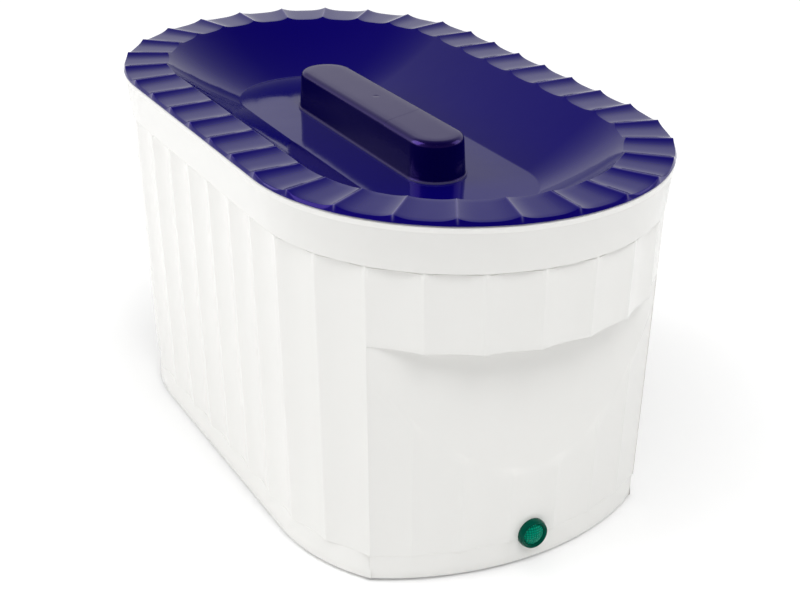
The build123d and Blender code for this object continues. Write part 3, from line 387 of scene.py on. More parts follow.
def woven(name, tone, pitch):
    """Silicone sheet through which a glass weave shows."""
    finish = Finish(name)
    x, y, z = finish.axes()
    turns = math.pi / pitch
    weave = ((x + z) * turns).sine() * ((y + z) * turns).sine()
    cloud = finish.noise(50.0, 3.0)
    tint = finish.mix(opaque(tone, 0.8), opaque(tone, 1.1), cloud + weave * 0.15)
    rough = 0.5 + weave * 0.06
    return finish.surface(Base_Color=tint, Roughness=rough, Normal=finish.bump(weave, 0.08 * MM))


def outline(t, r, half_straight=HALF_STRAIGHT):
    """Plan points of stations t on the stadium of half width r; 0 is the middle of the front end."""
    t = (np.asarray(t, float) + STATIONS / 2) % STATIONS - STATIONS / 2
    a = np.abs(t)
    half = END_FLUTES / 2
    turn = (np.minimum(a, half) + np.maximum(a - half - SIDE_FLUTES, 0)) * math.pi / END_FLUTES
    along = np.clip((a - half) / SIDE_FLUTES, 0, 1) * 2 - 1
    return np.where(t < 0, -1.0, 1.0) * r * np.sin(turn), half_straight * along - r * np.cos(turn)


def flute_columns():
    """Places across one flute from -1 to just under 1, closer together at the ridges."""
    inward = (np.arange(RIDGE_STEPS + 1) / RIDGE_STEPS) ** RIDGE_CROWDING
    return np.concatenate([inward - 1, 1 - inward[-2:0:-1]])


def hollow(v, half_chord, rounding, power=2.0):
    """Depth across a flute, 0 at its soft ridges and 1 in its middle; a high power flattens it."""
    chord = np.maximum(half_chord, TINY)
    inside = 1 - np.sqrt((chord * (1 - np.abs(v))) ** 2 + rounding ** 2) / chord
    return 1 - np.maximum(inside, 0) ** power


def rounded(corners):
    """Profile points from corners (r, z) or (r, z, radius); a radius turns a corner into a soft curve."""
    points = []
    for i, corner in enumerate(corners):
        if len(corner) == 2:
            points.append(tuple(corner))
            continue
        here = np.array(corner[:2])
        before = np.array(corners[i - 1][:2]) - here
        after = np.array(corners[i + 1][:2]) - here
        before_l, after_l = np.linalg.norm(before), np.linalg.norm(after)
        turn = math.pi - math.acos(np.clip(before @ after / (before_l * after_l), -1, 1))
        reach = min(corner[2] * math.tan(turn / 2), 0.49 * before_l, 0.49 * after_l)
        start = here + before * reach / before_l
        end = here + after * reach / after_l
        for u in np.linspace(0, 1, ROUND_STEPS + 1):
            points.append(tuple((1 - u) ** 2 * start + 2 * u * (1 - u) * here + u ** 2 * end))
    return points


def skin(name, x, y, z, closed_profile=False):
    """Mesh object over rows of points that run round the bath; the rows may also close on themselves."""
    points = np.stack(np.broadcast_arrays(x, y, z), -1)
    rows, columns = points.shape[:2]
    index = np.arange(rows * columns).reshape(rows, columns)
    low = index if closed_profile else index[:-1]
    high = np.roll(index, -1, 0) if closed_profile else index[1:]
    quads = np.stack([low, high, np.roll(high, -1, 1), np.roll(low, -1, 1)], -1).reshape(-1, 4)
    return mesh_object(name, points.reshape(-1, 3), quads)


def turned(name, profile, centre, relief=0.0):
    """Mesh object turned about a line along Y through centre; profile points are (radius, height)."""
    profile = np.array(profile)
    turn = np.linspace(0, 2 * math.pi, TURNED_STEPS, endpoint=False)
    x = profile[:, 0, None] * np.cos(turn)
    z = profile[:, 0, None] * np.sin(turn)
    y = profile[:, 1, None] + (relief(x, z) if relief else 0.0)
    return skin(name, centre[0] + x, centre[1] - y, centre[2] + z)


def mesh_object(name, points, faces):
    """Smooth-shaded mesh object without doubled points or empty faces; its creases stay sharp."""
    mesh = bpy.data.meshes.new(name)
    mesh.from_pydata(np.asarray(points).tolist(), [], [list(map(int, f)) for f in faces])
    work = bmesh.new()
    work.from_mesh(mesh)
    bmesh.ops.remove_doubles(work, verts=work.verts, dist=WELD_DISTANCE)
    bmesh.ops.dissolve_degenerate(work, edges=work.edges, dist=WELD_DISTANCE)
    bmesh.ops.recalc_face_normals(work, faces=work.faces)
    work.to_mesh(mesh)
    work.free()
    mesh.shade_smooth()
    mesh.set_sharp_from_angle(angle=SHARP_ANGLE)
    return linked(name, mesh)


def linked(name, data):
    """Object in the scene that holds this mesh, lamp or camera."""
    made = bpy.data.objects.new(name, data)
    bpy.context.scene.collection.objects.link(made)
    return made


def dress(piece, material, body, slot, *nodes):
    """Gives a new piece its finish in a material slot of its own, its body and the nodes that it stands for;
    the slot argument is not used.
    """
    piece.data.materials.append(material)
    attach(piece, body)
    if nodes:
        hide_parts(*nodes)


def finish_nodes(material, *names):
    """Gives carried-over nodes their finish and smooth shading between their edges."""
    for name in names:
        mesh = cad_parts[name].data
        mesh.materials.clear()
        mesh.materials.append(material)
        mesh.shade_smooth()
        mesh.set_sharp_from_angle(angle=SHARP_ANGLE)


def lid_profile(s, v, half_chord_share):
    """Profile of the lid at place v across a scallop, from the middle of its top round to its underside."""
    height = LID_HIGH.z
    edge_r = LID_HIGH.x
    top_r = edge_r - s.rim_flare
    brim = top_r - s.rim_band
    seat = height - s.rim_edge
    floor = LID_LOW.z + s.wall
    depth = height - floor
    run = brim - s.floor_half_width
    slope = math.hypot(depth, run)
    out_r, out_z = depth / slope, -run / slope
    share = (s.inner_dip - s.outer_dip) / s.rim_band

    def rim(r):
        half_chord = r * half_chord_share if half_chord_share else HALF_STRAIGHT / SIDE_FLUTES
        dip = s.outer_dip + share * (top_r - r)
        bead = s.ridge_bead * (1 - math.exp(-(half_chord * (1 - abs(v)) / s.ridge_bead_width) ** 2))
        return height - bead - dip * hollow(v, half_chord, s.ridge_round, LID_FLATNESS)

    def wall(u, drop=0.0):
        sag = 4 * u * (1 - u) * s.wall_hollow + drop
        return s.floor_half_width + u * run + sag * out_r, floor + u * depth + sag * out_z

    low, high = 0.5, 1.0
    for _ in range(BRIM_HALVINGS):
        u = (low + high) / 2
        r, z = wall(u)
        low, high = (low, u) if z > rim(r) else (u, high)
    brim_r, brim_z = wall(low)
    corners = [(0, floor), (s.floor_half_width * 0.5, floor), (s.floor_half_width, floor, 3 * MM)]
    corners += [wall(u) for u in np.linspace(0, low, 16)[1:-1]]
    corners += [(brim_r, brim_z, 0.8 * MM)]
    corners += [(r, rim(r)) for r in np.linspace(brim_r, top_r, 8)[1:-1]]
    corners += [(top_r, rim(top_r), 0.5 * MM), (edge_r, seat, 0.3 * MM), (s.skirt_outer, seat)]
    skirt_inner = s.skirt_outer - s.skirt_wall
    foot = seat - s.skirt_depth
    corners += [(s.skirt_outer, foot, 0.5 * MM), (skirt_inner, foot, 0.5 * MM), (skirt_inner, seat)]
    corners += [(brim + s.shoulder, seat)]
    corners += [wall(u, s.wall) for u in np.linspace(0.9, 0.1, 9)]
    corners += [(s.floor_half_width, LID_LOW.z), (0, LID_LOW.z)]
    return rounded(corners)


def around_flutes(first=0):
    """Stations of all columns and their place across their flute, ridges at whole stations plus first."""
    across = flute_columns()
    flutes = np.repeat(np.arange(STATIONS), len(across))
    v = np.tile(across, STATIONS)
    return flutes + first + (v + 1) / 2, v


class BATH_OT_lid(bpy.types.Operator):
    """Makes the scalloped lid"""

    bl_idname = "bath.lid"
    bl_label = "Lid"

    def execute(self, context):
        s = context.scene.bath_lid
        t, v = around_flutes()
        at_end = (np.floor(t) + END_FLUTES / 2) % (STATIONS / 2) < END_FLUTES
        share = math.sin(math.pi / 2 / END_FLUTES)
        kinds = {}
        for place, end in zip(np.round(v, 9), at_end):
            if (place, end) not in kinds:
                kinds[(place, end)] = lid_profile(s, place, share if end else 0.0)
        profile = np.array([kinds[key] for key in zip(np.round(v, 9), at_end)])
        r, z = profile[:, :, 0].T, profile[:, :, 1].T
        x, y = outline(t[None, :], r)
        lid = skin("lid_moulding", x, y, z)
        self.mark_ridges(lid.data, s)
        dress(lid, lid_finish(s.lid_colour), "lid", "lid_violet", "lid_shell")
        return {"FINISHED"}

    @staticmethod
    def mark_ridges(mesh, s):
        """Point attribute that is 1 on the crests between the scallops and 0 elsewhere; the lid's finish
        paints highlights along it.
        """
        points = np.array([v.co for v in mesh.vertices])
        x, y, z = np.abs(points).T
        turn = np.arctan2(x, np.maximum(y - HALF_STRAIGHT, 0))
        station = np.where(y > HALF_STRAIGHT, turn / math.pi * END_FLUTES,
                           END_FLUTES / 2 + (1 - y / HALF_STRAIGHT) * SIDE_FLUTES / 2)
        radius = np.where(y > HALF_STRAIGHT, np.hypot(x, y - HALF_STRAIGHT), x)
        pitch = np.where(y > HALF_STRAIGHT, radius * math.pi / END_FLUTES, 2 * HALF_STRAIGHT / SIDE_FLUTES)
        away = np.abs(station - np.round(station)) * pitch
        crest = np.exp(-(away / s.ridge_bead_width) ** 2)
        brim = LID_HIGH.x - s.rim_flare - s.rim_band
        on_rim = (z > LID_HIGH.z - CREST_BAND) & (radius > brim)
        ridge = mesh.attributes.new("ridge", "FLOAT", "POINT")
        ridge.data.foreach_set("value", (crest * on_rim).astype(np.float32))


def lid_finish(tone):
    """Glossy violet plastic with faint flow mottling, an almost perfect skin and painted highlights along its
    ridges.
    """
    finish = Finish("lid_violet_gloss")
    cloud = finish.noise(11.0, 3.0)
    tint = finish.mix(opaque(tone, 0.9), opaque(tone, 1.12), cloud)
    # Painted highlight: the crests are tinted paler violet, more where the cloud is light.
    painted_ridge_highlight = finish.node("ShaderNodeAttribute", {"attribute_name": "ridge"}, output="Fac")
    tint = finish.mix(tint, opaque(PAINTED_HIGHLIGHT_VIOLET), painted_ridge_highlight * (cloud * 0.8))
    smears = finish.noise(38.0, 4.0)
    rough = 0.075 + (smears - 0.5) * 0.06
    ripple = finish.noise(60.0, 1.0) + finish.noise(900.0, 1.0) * 0.05
    return finish.surface(Base_Color=tint, Roughness=rough, Normal=finish.bump(ripple, 0.05 * MM), IOR=1.5,
                          Specular_Tint=VIOLET_GLINT)


class BATH_OT_handle(bpy.types.Operator):
    """Makes the bar handle on the lid"""

    bl_idname = "bath.handle"
    bl_label = "Lid handle"

    def execute(self, context):
        s = context.scene.bath_lid
        low, high = HANDLE_LOW.z, HANDLE_HIGH.z
        lip_r = HANDLE_HIGH.x
        half_straight = HANDLE_HIGH.y - lip_r
        lean = math.tan(s.handle_draft)
        foot_r = lip_r - s.handle_lip
        top_r = foot_r - (high - low) * lean
        lip_z = low + s.handle_lip_height
        profile = rounded([
            (0, high), (top_r * 0.5, high), (top_r, high, s.handle_edge),
            (foot_r - s.handle_lip_height * lean, lip_z, 0.3 * MM),
            (lip_r, lip_z, 0.5 * MM), (lip_r, low), (0, low)])
        t = np.linspace(0, STATIONS, HANDLE_STEPS * STATIONS, endpoint=False)
        r = np.array([p[0] for p in profile])[:, None]
        z = np.array([p[1] for p in profile])[:, None]
        x, y = outline(t[None, :], r, half_straight)
        handle = skin("handle_bar", x, y, z)
        dress(handle, handle_finish(s.handle_colour), "lid", "handle_violet", "lid_handle")
        return {"FINISHED"}


def handle_finish(tone):
    """Satin violet plastic with a gate mark and a weld line on its top, and a painted highlight along the lip
    at its foot.
    """
    finish = Finish("handle_violet_satin")
    cloud = finish.noise(30.0, 3.0)
    tint = finish.mix(opaque(tone, 0.92), opaque(tone, 1.1), cloud)
    rough = 0.2 + (finish.noise(70.0, 3.0) - 0.5) * 0.1
    x, y, z = finish.axes()
    on_top = finish.fade(HANDLE_HIGH.z - z, 1.0 * MM, 3.0 * MM)
    weld = finish.fade(y - x * HANDLE_WELD_SLOPE - HANDLE_WELD_Y, -0.4 * MM, 0.4 * MM) * on_top
    gate = finish.dent((HANDLE_GATE_X, HANDLE_GATE_Y, HANDLE_HIGH.z), 2.5 * MM)
    height = finish.noise(2400.0, 2.0) * 0.05 - weld * 0.4 - gate * 1.6
    # Painted highlight: the lip at the handle's foot is tinted paler violet.
    painted_lip_highlight = finish.fade(z - HANDLE_LOW.z, 0.9 * MM, 1.3 * MM) * 0.3
    tint = finish.mix(tint, opaque(PAINTED_HIGHLIGHT_VIOLET), painted_lip_highlight)
    return finish.surface(Base_Color=tint, Roughness=rough, Normal=finish.bump(height, 0.15 * MM), IOR=1.9,
                          Specular_Tint=VIOLET_GLINT)


class Walls:
    """Plan places of the housing's surfaces over its front half's columns, and the rows made from them."""

    def __init__(self, s):
        self.s = s
        self.rows = []
        across = flute_columns()
        half = STATIONS // 2
        self.flute = np.repeat(np.arange(half) - half / 2, len(across))
        self.v = np.tile(across, half)
        self.t = self.flute + self.v / 2
        self.collar_low = HOUSING_HIGH.z - s.bead_height - s.collar_height
        self.ridge_top = s.collar_top - s.collar_draft - s.ridge_inset
        self.inside = np.abs(self.t) < RECESS_FLUTES / 2 - TINY

    def add(self, plan, z):
        """Adds a row round the whole housing from its front half; the rear half is that half turned."""
        x, y, z = np.broadcast_arrays(plan[0], plan[1], z)
        front, rear = np.stack([x, y, z], -1), np.stack([-x, -y, z], -1)
        self.rows.append(np.concatenate([front, rear]))

    def ring(self, r, z):
        """Adds a smooth row of half width r."""
        self.add(outline(self.t, r), z)

    def ridge(self, z):
        """Half width over the ridges at height z."""
        return self.ridge_top - self.s.flute_draft * (self.collar_low - z)

    def bowed(self, a, m, b, softness):
        """Points over a flute from ridge a through middle m to ridge b, each a pair of plan arrays."""
        half_chord = np.hypot(b[0] - a[0], b[1] - a[1]) / 2
        depth = hollow(self.v, half_chord, softness)
        out = []
        for i in (0, 1):
            centre = (a[i] + b[i]) / 2
            out.append(centre + self.v * (b[i] - a[i]) / 2 + depth * (m[i] - centre))
        return out

    def wall(self, z, inset=0.0):
        """Fluted wall."""
        r = self.ridge(z) - inset
        return self.bowed(outline(self.flute - 0.5, r), outline(self.flute, r - self.s.flute_dip),
                          outline(self.flute + 0.5, r), self.s.flute_round)

    def panel_y(self, x, z, crease=0.0, sink=0.0):
        """Y of the panel's ridge line inside the recess, or of the smooth scoop with its middle sunk."""
        r = self.ridge(z)
        end_x, end_y = outline(RECESS_FLUTES / 2, r - crease)
        apex = -HALF_STRAIGHT - r + self.s.recess_set_back + sink
        sag = end_y - apex
        radius = (end_x ** 2 + sag ** 2) / (2 * sag)
        return apex + radius - np.sqrt(radius ** 2 - np.minimum(x ** 2, end_x ** 2))

    def panel(self, z, dip, inset=0.0):
        """Panel inside the recess, fluted by dip; the fluted wall elsewhere."""
        r = self.ridge(z)
        last = RECESS_FLUTES / 2
        side = outline(last, r)[0]
        left = outline(np.maximum(self.flute - 0.5, -last), r)[0]
        right = outline(np.minimum(self.flute + 0.5, last), r)[0]
        middle = (left + right) / 2
        left_y, right_y = [self.panel_y(e, z) + np.where(np.isclose(np.abs(e), side), self.s.crease, 0.0)
                           for e in (left, right)]
        x, y = self.bowed((left, left_y), (middle, self.panel_y(middle, z) + dip), (right, right_y), 0.5 * MM)
        return x, y + inset

    def scoop(self, z):
        """Smooth hollow of the recess."""
        last = RECESS_FLUTES / 2
        x = outline(np.clip(self.t, -last, last), self.ridge(z))[0]
        return x, self.panel_y(x, z, self.s.crease, self.s.panel_dip + self.s.scoop_sink)

    @staticmethod
    def between(first, second, u):
        """Plan place that turns softly from one to another as u goes from 0 to 1."""
        soft = u * u * (3 - 2 * u)
        return [a + (b - a) * soft for a, b in zip(first, second)]

    def choose(self, inside, outside):
        """One plan place inside the recess and another elsewhere."""
        return [np.where(self.inside, a, b) for a, b in zip(inside, outside)]

    def scoop_edge(self):
        """Height of the scoop's lower boundary at each column."""
        x, _ = self.panel(self.s.scoop_side, 0.0)
        wide = outline(RECESS_FLUTES / 2, self.ridge(self.s.recess_top))[0]
        low, side = self.s.scoop_low, self.s.scoop_side
        bowl = low + (side - low) * np.minimum(np.abs(x) / wide, 1) ** 2
        return np.where(self.inside, bowl, side)


class BATH_OT_housing(bpy.types.Operator):
    """Makes the fluted housing with its hand-holds"""

    bl_idname = "bath.housing"
    bl_label = "Housing"

    def execute(self, context):
        s = context.scene.bath_housing
        walls = Walls(s)
        self.add_base_band(walls, s)
        self.add_panel(walls, s)
        self.add_overhang(walls, s)
        self.add_collar(walls, s)
        self.add_inner_wall(walls, s)
        x, y, z = np.moveaxis(np.array(walls.rows), -1, 0)
        housing = skin("housing_moulding", x, y, z, closed_profile=True)
        white = moulded("housing_white", s.colour, 0.24, 0.012, 0.001 * MM, 1400.0)
        dress(housing, white, "base", "housing_white", "housing")
        return {"FINISHED"}

    @staticmethod
    def add_base_band(walls, s):
        """Base band from its rounded foot up."""
        foot = HOUSING_LOW.z
        radius = walls.ridge(s.base_top) - s.flute_dip + s.base_step
        heights = [(foot, 0.5 * MM), (foot + 0.15 * MM, 0.15 * MM)]
        heights += [(z, 0.0) for z in np.linspace(foot + 0.5 * MM, s.base_top, 4)]
        for z, inset in heights:
            flare = s.base_flare * (s.base_top - z) / (s.base_top - foot)
            panel = walls.panel(z, 0.0, s.panel_dip - s.base_step + inset)
            walls.add(walls.choose(panel, outline(walls.t, radius + flare - inset)), z)

    @staticmethod
    def add_panel(walls, s):
        """Fluted panel and, over it, the smooth scoop of the recess; the fluted wall beside them."""
        edge = walls.scoop_edge()
        for u in np.linspace(0, 1, 12):
            z = s.base_top + (edge - s.scoop_round - s.base_top) * u
            walls.add(walls.choose(walls.panel(z, s.panel_dip), walls.wall(z)), z)
        for u in np.linspace(0, 1, 10)[1:-1]:
            z = edge + s.scoop_round * (2 * u - 1)
            soft = walls.between(walls.panel(z, s.panel_dip), walls.scoop(z), u)
            walls.add(walls.choose(soft, walls.wall(z)), z)
        for u in np.linspace(0, 1, 12):
            z = (edge + s.scoop_round) * (1 - u) + s.recess_top * u
            walls.add(walls.choose(walls.scoop(z), walls.wall(z)), z)

    @staticmethod
    def add_overhang(walls, s):
        """Fluted wall from the recess's rounded top edge to the gap under the collar."""
        for lift, inset in ((0.0, 0.9), (0.05, 0.5), (0.3, 0.15), (0.9, 0.0)):
            z = s.recess_top + lift * MM
            walls.add(walls.choose(walls.wall(z, inset * MM), walls.wall(z)), z)
        for z in np.linspace(s.recess_top + 3 * MM, walls.collar_low - s.groove_height * 1.4, 6):
            walls.add(walls.wall(z), z)
        groove = s.groove_depth * hollow(walls.v, 0.5, 0.0)
        for drop in (s.groove_height, 0.0):
            walls.add(walls.wall(walls.collar_low - drop, groove), walls.collar_low - drop)

    @staticmethod
    def add_collar(walls, s):
        """Collar, bead under the lid, lip, and the ledge for the tank."""
        lip = HOUSING_HIGH.z
        collar_r = s.collar_top - s.collar_draft
        bead_low = lip - s.bead_height
        bead_r = HOUSING_HIGH.x
        profile = rounded([
            (collar_r - 1 * MM, walls.collar_low), (collar_r, walls.collar_low, 0.4 * MM),
            (s.collar_top, bead_low), (bead_r, bead_low + s.bead_edge, 0.5 * MM),
            (bead_r, lip - s.bead_edge, 0.8 * MM), (bead_r - s.bead_edge, lip, 0.4 * MM),
            (s.collar_top - s.wall, lip, 0.5 * MM), (s.collar_top - s.wall, s.ledge_top),
            (s.ledge_seat, s.ledge_top), (s.ledge_seat, s.ledge_top - s.ledge_thickness)])
        for r, z in profile[1:]:
            walls.ring(r, z)

    @staticmethod
    def add_inner_wall(walls, s):
        """Inner face, from the ledge's underside past the recess's roof to the foot."""
        inner = s.flute_dip + s.wall
        walls.ring(walls.ridge(walls.collar_low) - inner, s.ledge_top - s.ledge_thickness)
        roof = s.recess_top + s.wall
        walls.ring(walls.ridge(roof) - inner, roof)
        behind = s.panel_dip + s.scoop_sink + s.wall
        for z in (roof, HOUSING_LOW.z):
            walls.add(walls.choose(walls.panel(z, 0.0, behind), outline(walls.t, walls.ridge(z) - inner)), z)


class BATH_OT_lamp(bpy.types.Operator):
    """Makes the pilot lamp's ring and lens"""

    bl_idname = "bath.lamp"
    bl_label = "Pilot lamp"

    def execute(self, context):
        s = context.scene.bath_lamp
        middle = (RING_LOW + RING_HIGH) / 2
        seat = (middle.x, RING_HIGH.y, middle.z)
        ring_r, ring_h = RING_HIGH.x - middle.x, RING_HIGH.y - RING_LOW.y
        lens_r, crown = LENS_HIGH.x - middle.x, RING_HIGH.y - LENS_LOW.y
        shoulder_r = ring_r - s.ring_slope
        ring = turned("lamp_ring", rounded([
            (ring_r, 0), (ring_r, s.ring_side, 0.3 * MM), (shoulder_r, ring_h, 0.4 * MM),
            (shoulder_r - s.ring_face, ring_h, 0.3 * MM), (lens_r + 0.1 * MM, ring_h - s.groove, 0.2 * MM),
            (lens_r + 0.1 * MM, 0.4 * MM)]), seat)
        green = moulded("lamp_ring_green", s.ring_colour, 0.06, 0.3, glint=GREEN_GLINT, ior=1.3)
        dress(ring, green, "base", "lamp_ring_green", "lamp_bezel")
        side = ring_h - s.groove
        rise = crown - side - s.prism_height
        reach = np.linspace(1, 0, 30)
        dome = [(lens_r, 0.4 * MM), (lens_r, side - 0.1 * MM)]
        dome += [(lens_r * u * (1 - 0.02 * u ** 8), side + rise * (1 - u ** 2)) for u in reach]

        def prisms(x, z):
            cells = np.abs(np.sin(x * math.pi / s.prism_pitch) * np.sin(z * math.pi / s.prism_pitch))
            inner = np.clip((0.92 * lens_r - np.hypot(x, z)) / (0.1 * lens_r), 0, 1)
            return s.prism_height * cells * inner

        lens = turned("lamp_dome", dome, seat, prisms)
        dress(lens, lens_finish(s, middle), "base", "lamp_lens_green", "lamp_lens")
        return {"FINISHED"}


def lens_finish(s, middle):
    """Clear green lens whose prisms are painted as darker and lighter cells, as painted shade and light."""
    finish = Finish("lamp_lens_green")
    x, _, z = finish.axes()
    turns = math.pi / s.prism_pitch
    cells = abs(((x - middle.x) * turns).sine() * ((z - middle.z) * turns).sine())
    # Painted shade and light: across each prism cell the lens's green runs from dark to light.
    tint = finish.mix(opaque(s.lens_colour, 0.35), opaque(s.lens_colour, 1.3), cells)
    rough = 0.08 + finish.noise(400.0) * 0.06
    return finish.surface(Base_Color=tint, Roughness=rough, Normal=finish.bump(cells, 0.1 * MM), IOR=1.22,
                          Specular_Tint=GREEN_GLINT)


class BATH_OT_inside(bpy.types.Operator):
    """Finishes the tank, the grille, the heating and the wiring"""

    bl_idname = "bath.inside"
    bl_label = "Inside"

    def execute(self, context):
        s = context.scene.bath_inside
        finish_nodes(metal("tank_aluminium", s.tank, 0.34, (1.0, 1.0, 0.08), 0.04), "tank")
        finish_nodes(moulded("grille_white", s.grille, 0.42, 0.03, 0.012 * MM, 1500.0), "tank_grille")
        finish_nodes(moulded("seal_silicone", s.seal, 0.5, 0.08), "tank_seal")
        finish_nodes(woven("heater_silicone", s.heater, 1.2 * MM), "heater_mat", "heater_band")
        finish_nodes(felt("insulation_felt", s.felt), "insulation_pad", "insulation_wrap")
        finish_nodes(moulded("switch_black", s.switch, 0.38, 0.25, 0.02 * MM, 900.0),
                     "thermostat_body", "thermal_cutout", "lamp_body")
        finish_nodes(moulded("block_white", s.block, 0.45, 0.06), "terminal_block")
        finish_nodes(metal("brass", s.brass, 0.28), "earth_stud", "earth_nut", "thermostat_spindle")
        finish_nodes(moulded("wire_grey", s.wire, 0.5, 0.12), "lamp_leads", "heater_leads")
        gland = moulded("gland_black", s.switch, 0.45, 0.2, 0.03 * MM, 1100.0)
        finish_nodes(gland, "cord_gland", "gland_nut")
        rubber = moulded("foot_rubber", s.rubber, 0.68, 0.2, 0.05 * MM, 1300.0)
        finish_nodes(rubber, "front_left_foot", "front_right_foot", "rear_left_foot", "rear_right_foot")
        zinc = metal("zinc_steel", s.zinc, 0.36, spangle=0.14)
        finish_nodes(zinc, "base_plate", "lamp_nut")
        for name in ("base_screws", "foot_screws", "block_screws", "handle_screws"):
            body = "lid" if name == "handle_screws" else "base"
            screws = cross_headed(name.replace("screws", "cross_screws"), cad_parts[name].data)
            dress(screws, zinc, body, "zinc_steel", name)
        return {"FINISHED"}


def each_upright(solids):
    """Points of each separate upright screw in a mesh."""
    groups = []
    for vertex in solids.vertices:
        place = np.array(vertex.co)
        for group in groups:
            if np.hypot(*(place - group[0])[:2]) < SCREW_APART:
                group.append(place)
                break
        else:
            groups.append([place])
    return [np.array(group) for group in groups]


def cross_head(group):
    """Rows of points over a screw with a cross recess, as large as a plain screw's points."""
    low, high = group.min(0), group.max(0)
    centre = (low + high) / 2
    head_r = (high[0] - low[0]) / 2
    out = np.hypot(*(group - centre)[:, :2].T)
    shank_r = out[out < HEAD_SHARE * head_r].max()
    head = group[out > HEAD_SHARE * head_r]
    up = 1 if head[:, 2].max() > centre[2] else -1
    face, tip = (high[2], low[2]) if up > 0 else (low[2], high[2])
    under = up * face - np.ptp(head[:, 2])
    tall = up * face - under
    rows = [(r, tall) for r in np.linspace(0, 0.8 * head_r, 14)]
    rows += [(0.92 * head_r, 0.93 * tall), (head_r, 0.7 * tall), (head_r, 0)]
    rows += [(shank_r, 0), (shank_r, up * tip - under), (0, up * tip - under)]
    turn = np.linspace(0, 2 * math.pi, SCREW_STEPS, endpoint=False)
    r, h = np.array(rows).T[:, :, None]
    x, y = r * np.cos(turn), r * np.sin(turn)
    slot = np.minimum(np.abs(x), np.abs(y)) < SLOT_HALF_WIDTH * head_r
    slot = slot & (r < SLOT_REACH * head_r) & (h > 0.99 * tall)
    z = up * (under + h - np.where(slot, SLOT_DEPTH * tall * (1 - r / head_r), 0))
    return np.stack(np.broadcast_arrays(centre[0] + x, centre[1] + y, z), -1)


def cross_headed(name, solids):
    """Mesh object of cross-headed screws in the places and sizes of the given ones."""
    points, faces = [], []
    for count, group in enumerate(each_upright(solids)):
        screw = cross_head(group)
        index = np.arange(screw[..., 0].size).reshape(screw.shape[:2]) + count * screw[..., 0].size
        beside = np.roll(index, -1, 1)
        faces.append(np.stack([index[:-1], beside[:-1], beside[1:], index[1:]], -1).reshape(-1, 4))
        points.append(screw.reshape(-1, 3))
    return mesh_object(name, np.concatenate(points), np.concatenate(faces))


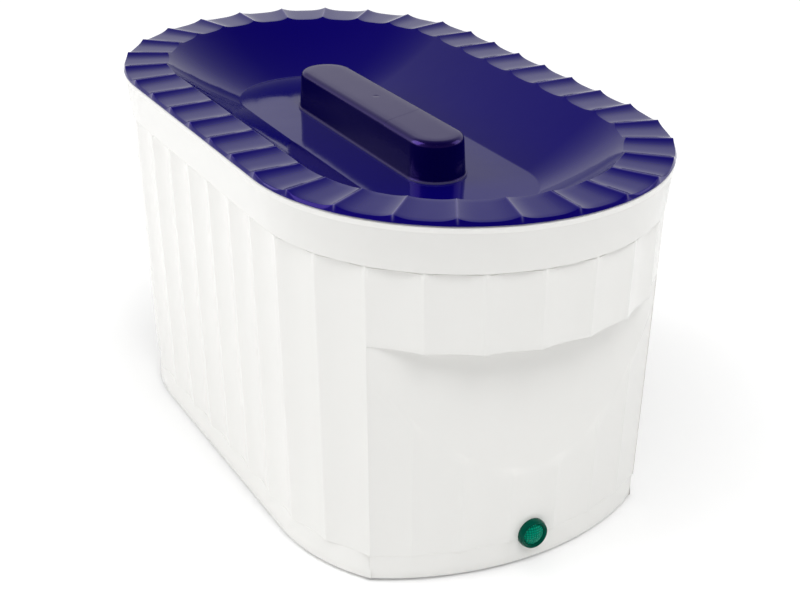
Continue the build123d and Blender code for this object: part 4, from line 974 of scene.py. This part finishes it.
class BATH_OT_stage(bpy.types.Operator):
    """Makes the floor, the lamps, the world and the camera"""

    bl_idname = "bath.stage"
    bl_label = "Stage"

    def execute(self, context):
        s = context.scene.bath_stage
        scene = context.scene
        scene.view_settings.view_transform = "Standard"
        self.floor(s)
        scene.world = self.sky(s)
        self.lamp("key", s.key_power)
        self.lamp("fill", s.fill_power)
        self.lamp("overhead", s.overhead_power).visible_glossy = False
        scene.camera = self.camera(s)
        return {"FINISHED"}

    @staticmethod
    def floor(s):
        """White floor; where it is seen or mirrored, it glows more with its distance from the bath."""
        mesh = bpy.data.meshes.new("floor")
        corners = [(x * FLOOR_REACH, y * FLOOR_REACH, 0) for x, y in ((-1, -1), (1, -1), (1, 1), (-1, 1))]
        mesh.from_pydata(corners, [], [(0, 1, 2, 3)])
        linked("floor", mesh)
        finish = Finish("floor_white")
        seen, mirrored = finish.outlets("ShaderNodeLightPath", ("Is Camera Ray", "Is Glossy Ray"))
        matt = finish.node("ShaderNodeBsdfDiffuse", None, {"Color": opaque(s.floor_colour)})
        away = finish.distance((0, 0, 0))
        near, middle, far = FLOOR_RINGS
        less = finish.fade(away, near, middle) * (s.floor_glow - s.floor_mid_glow)
        less = less + finish.fade(away, middle, far) * (s.floor_mid_glow - s.floor_far_glow)
        grey = (seen + mirrored) * (less + s.floor_far_glow)
        glow = finish.node("ShaderNodeEmission", None, {"Color": grey})
        mesh.materials.append(finish.end(finish.node("ShaderNodeAddShader", None, {0: matt, 1: glow})))

    @staticmethod
    def sky(s):
        """White world; in reflections it darkens overhead and towards the front, as a studio does."""
        finish = Finish("studio", "worlds")
        way = finish.node("ShaderNodeTexCoord", output="Generated")
        _, deep, high = finish.outlets("ShaderNodeSeparateXYZ", "XYZ", {0: way})
        top = finish.ramp(high, *MIRRORED_TOP)
        front = finish.ramp(deep, *MIRRORED_FRONT)
        direct, mirrored = finish.outlets("ShaderNodeLightPath", ("Is Camera Ray", "Is Glossy Ray"))
        plain = s.world_strength + mirrored * (top * front - s.world_strength)
        strength = plain + direct * (1.0 - plain)
        shader = finish.node("ShaderNodeBackground", None, {"Color": (1, 1, 1, 1), "Strength": strength})
        return finish.end(shader, "ShaderNodeOutputWorld")

    @staticmethod
    def lamp(name, power):
        """Square area lamp that looks at the bath."""
        place, side = LAMPS[name]
        data = bpy.data.lights.new(name, "AREA")
        data.energy = power
        data.size = side
        lamp = linked(name, data)
        lamp.location = place
        lamp.rotation_mode = "QUATERNION"
        lamp.rotation_quaternion = (Vector(LAMP_AIM) - lamp.location).to_track_quat("-Z", "Y")
        return lamp

    @staticmethod
    def camera(s):
        """Camera at the photograph's place and angle."""
        data = bpy.data.cameras.new("camera")
        data.sensor_width = SENSOR_WIDTH
        data.lens = s.camera_lens
        data.clip_start = 0.01
        camera = linked("camera", data)
        turn = Matrix((CAMERA_RIGHT, CAMERA_UP, CAMERA_BACK)).transposed()
        camera.matrix_world = Matrix.Translation(s.camera_place) @ turn.to_4x4()
        return camera


class BATH_PT_panel(bpy.types.Panel):
    """Lists the bath's pieces in the sidebar"""

    bl_idname = "BATH_PT_panel"
    bl_label = "Paraffin bath"
    bl_space_type = "VIEW_3D"
    bl_region_type = "UI"
    bl_category = "Bath"

    def draw(self, context):
        for operator in OPERATORS:
            self.layout.operator(operator.bl_idname)


SETTINGS = {
    "bath_lid": LidSettings,
    "bath_housing": HousingSettings,
    "bath_lamp": LampSettings,
    "bath_inside": InsideSettings,
    "bath_stage": StageSettings,
}
OPERATORS = (BATH_OT_lid, BATH_OT_handle, BATH_OT_housing, BATH_OT_lamp, BATH_OT_inside, BATH_OT_stage)


def register():
    for name, group in SETTINGS.items():
        bpy.utils.register_class(group)
        setattr(bpy.types.Scene, name, PointerProperty(type=group))
    for cls in (*OPERATORS, BATH_PT_panel):
        bpy.utils.register_class(cls)


def unregister():
    for cls in reversed((*OPERATORS, BATH_PT_panel)):
        bpy.utils.unregister_class(cls)
    for name, group in SETTINGS.items():
        delattr(bpy.types.Scene, name)
        bpy.utils.unregister_class(group)


def main():
    register()
    bpy.ops.bath.lid()
    bpy.ops.bath.handle()
    bpy.ops.bath.housing()
    bpy.ops.bath.lamp()
    bpy.ops.bath.inside()
    bpy.ops.bath.stage()


if __name__ == "__main__":
    main()
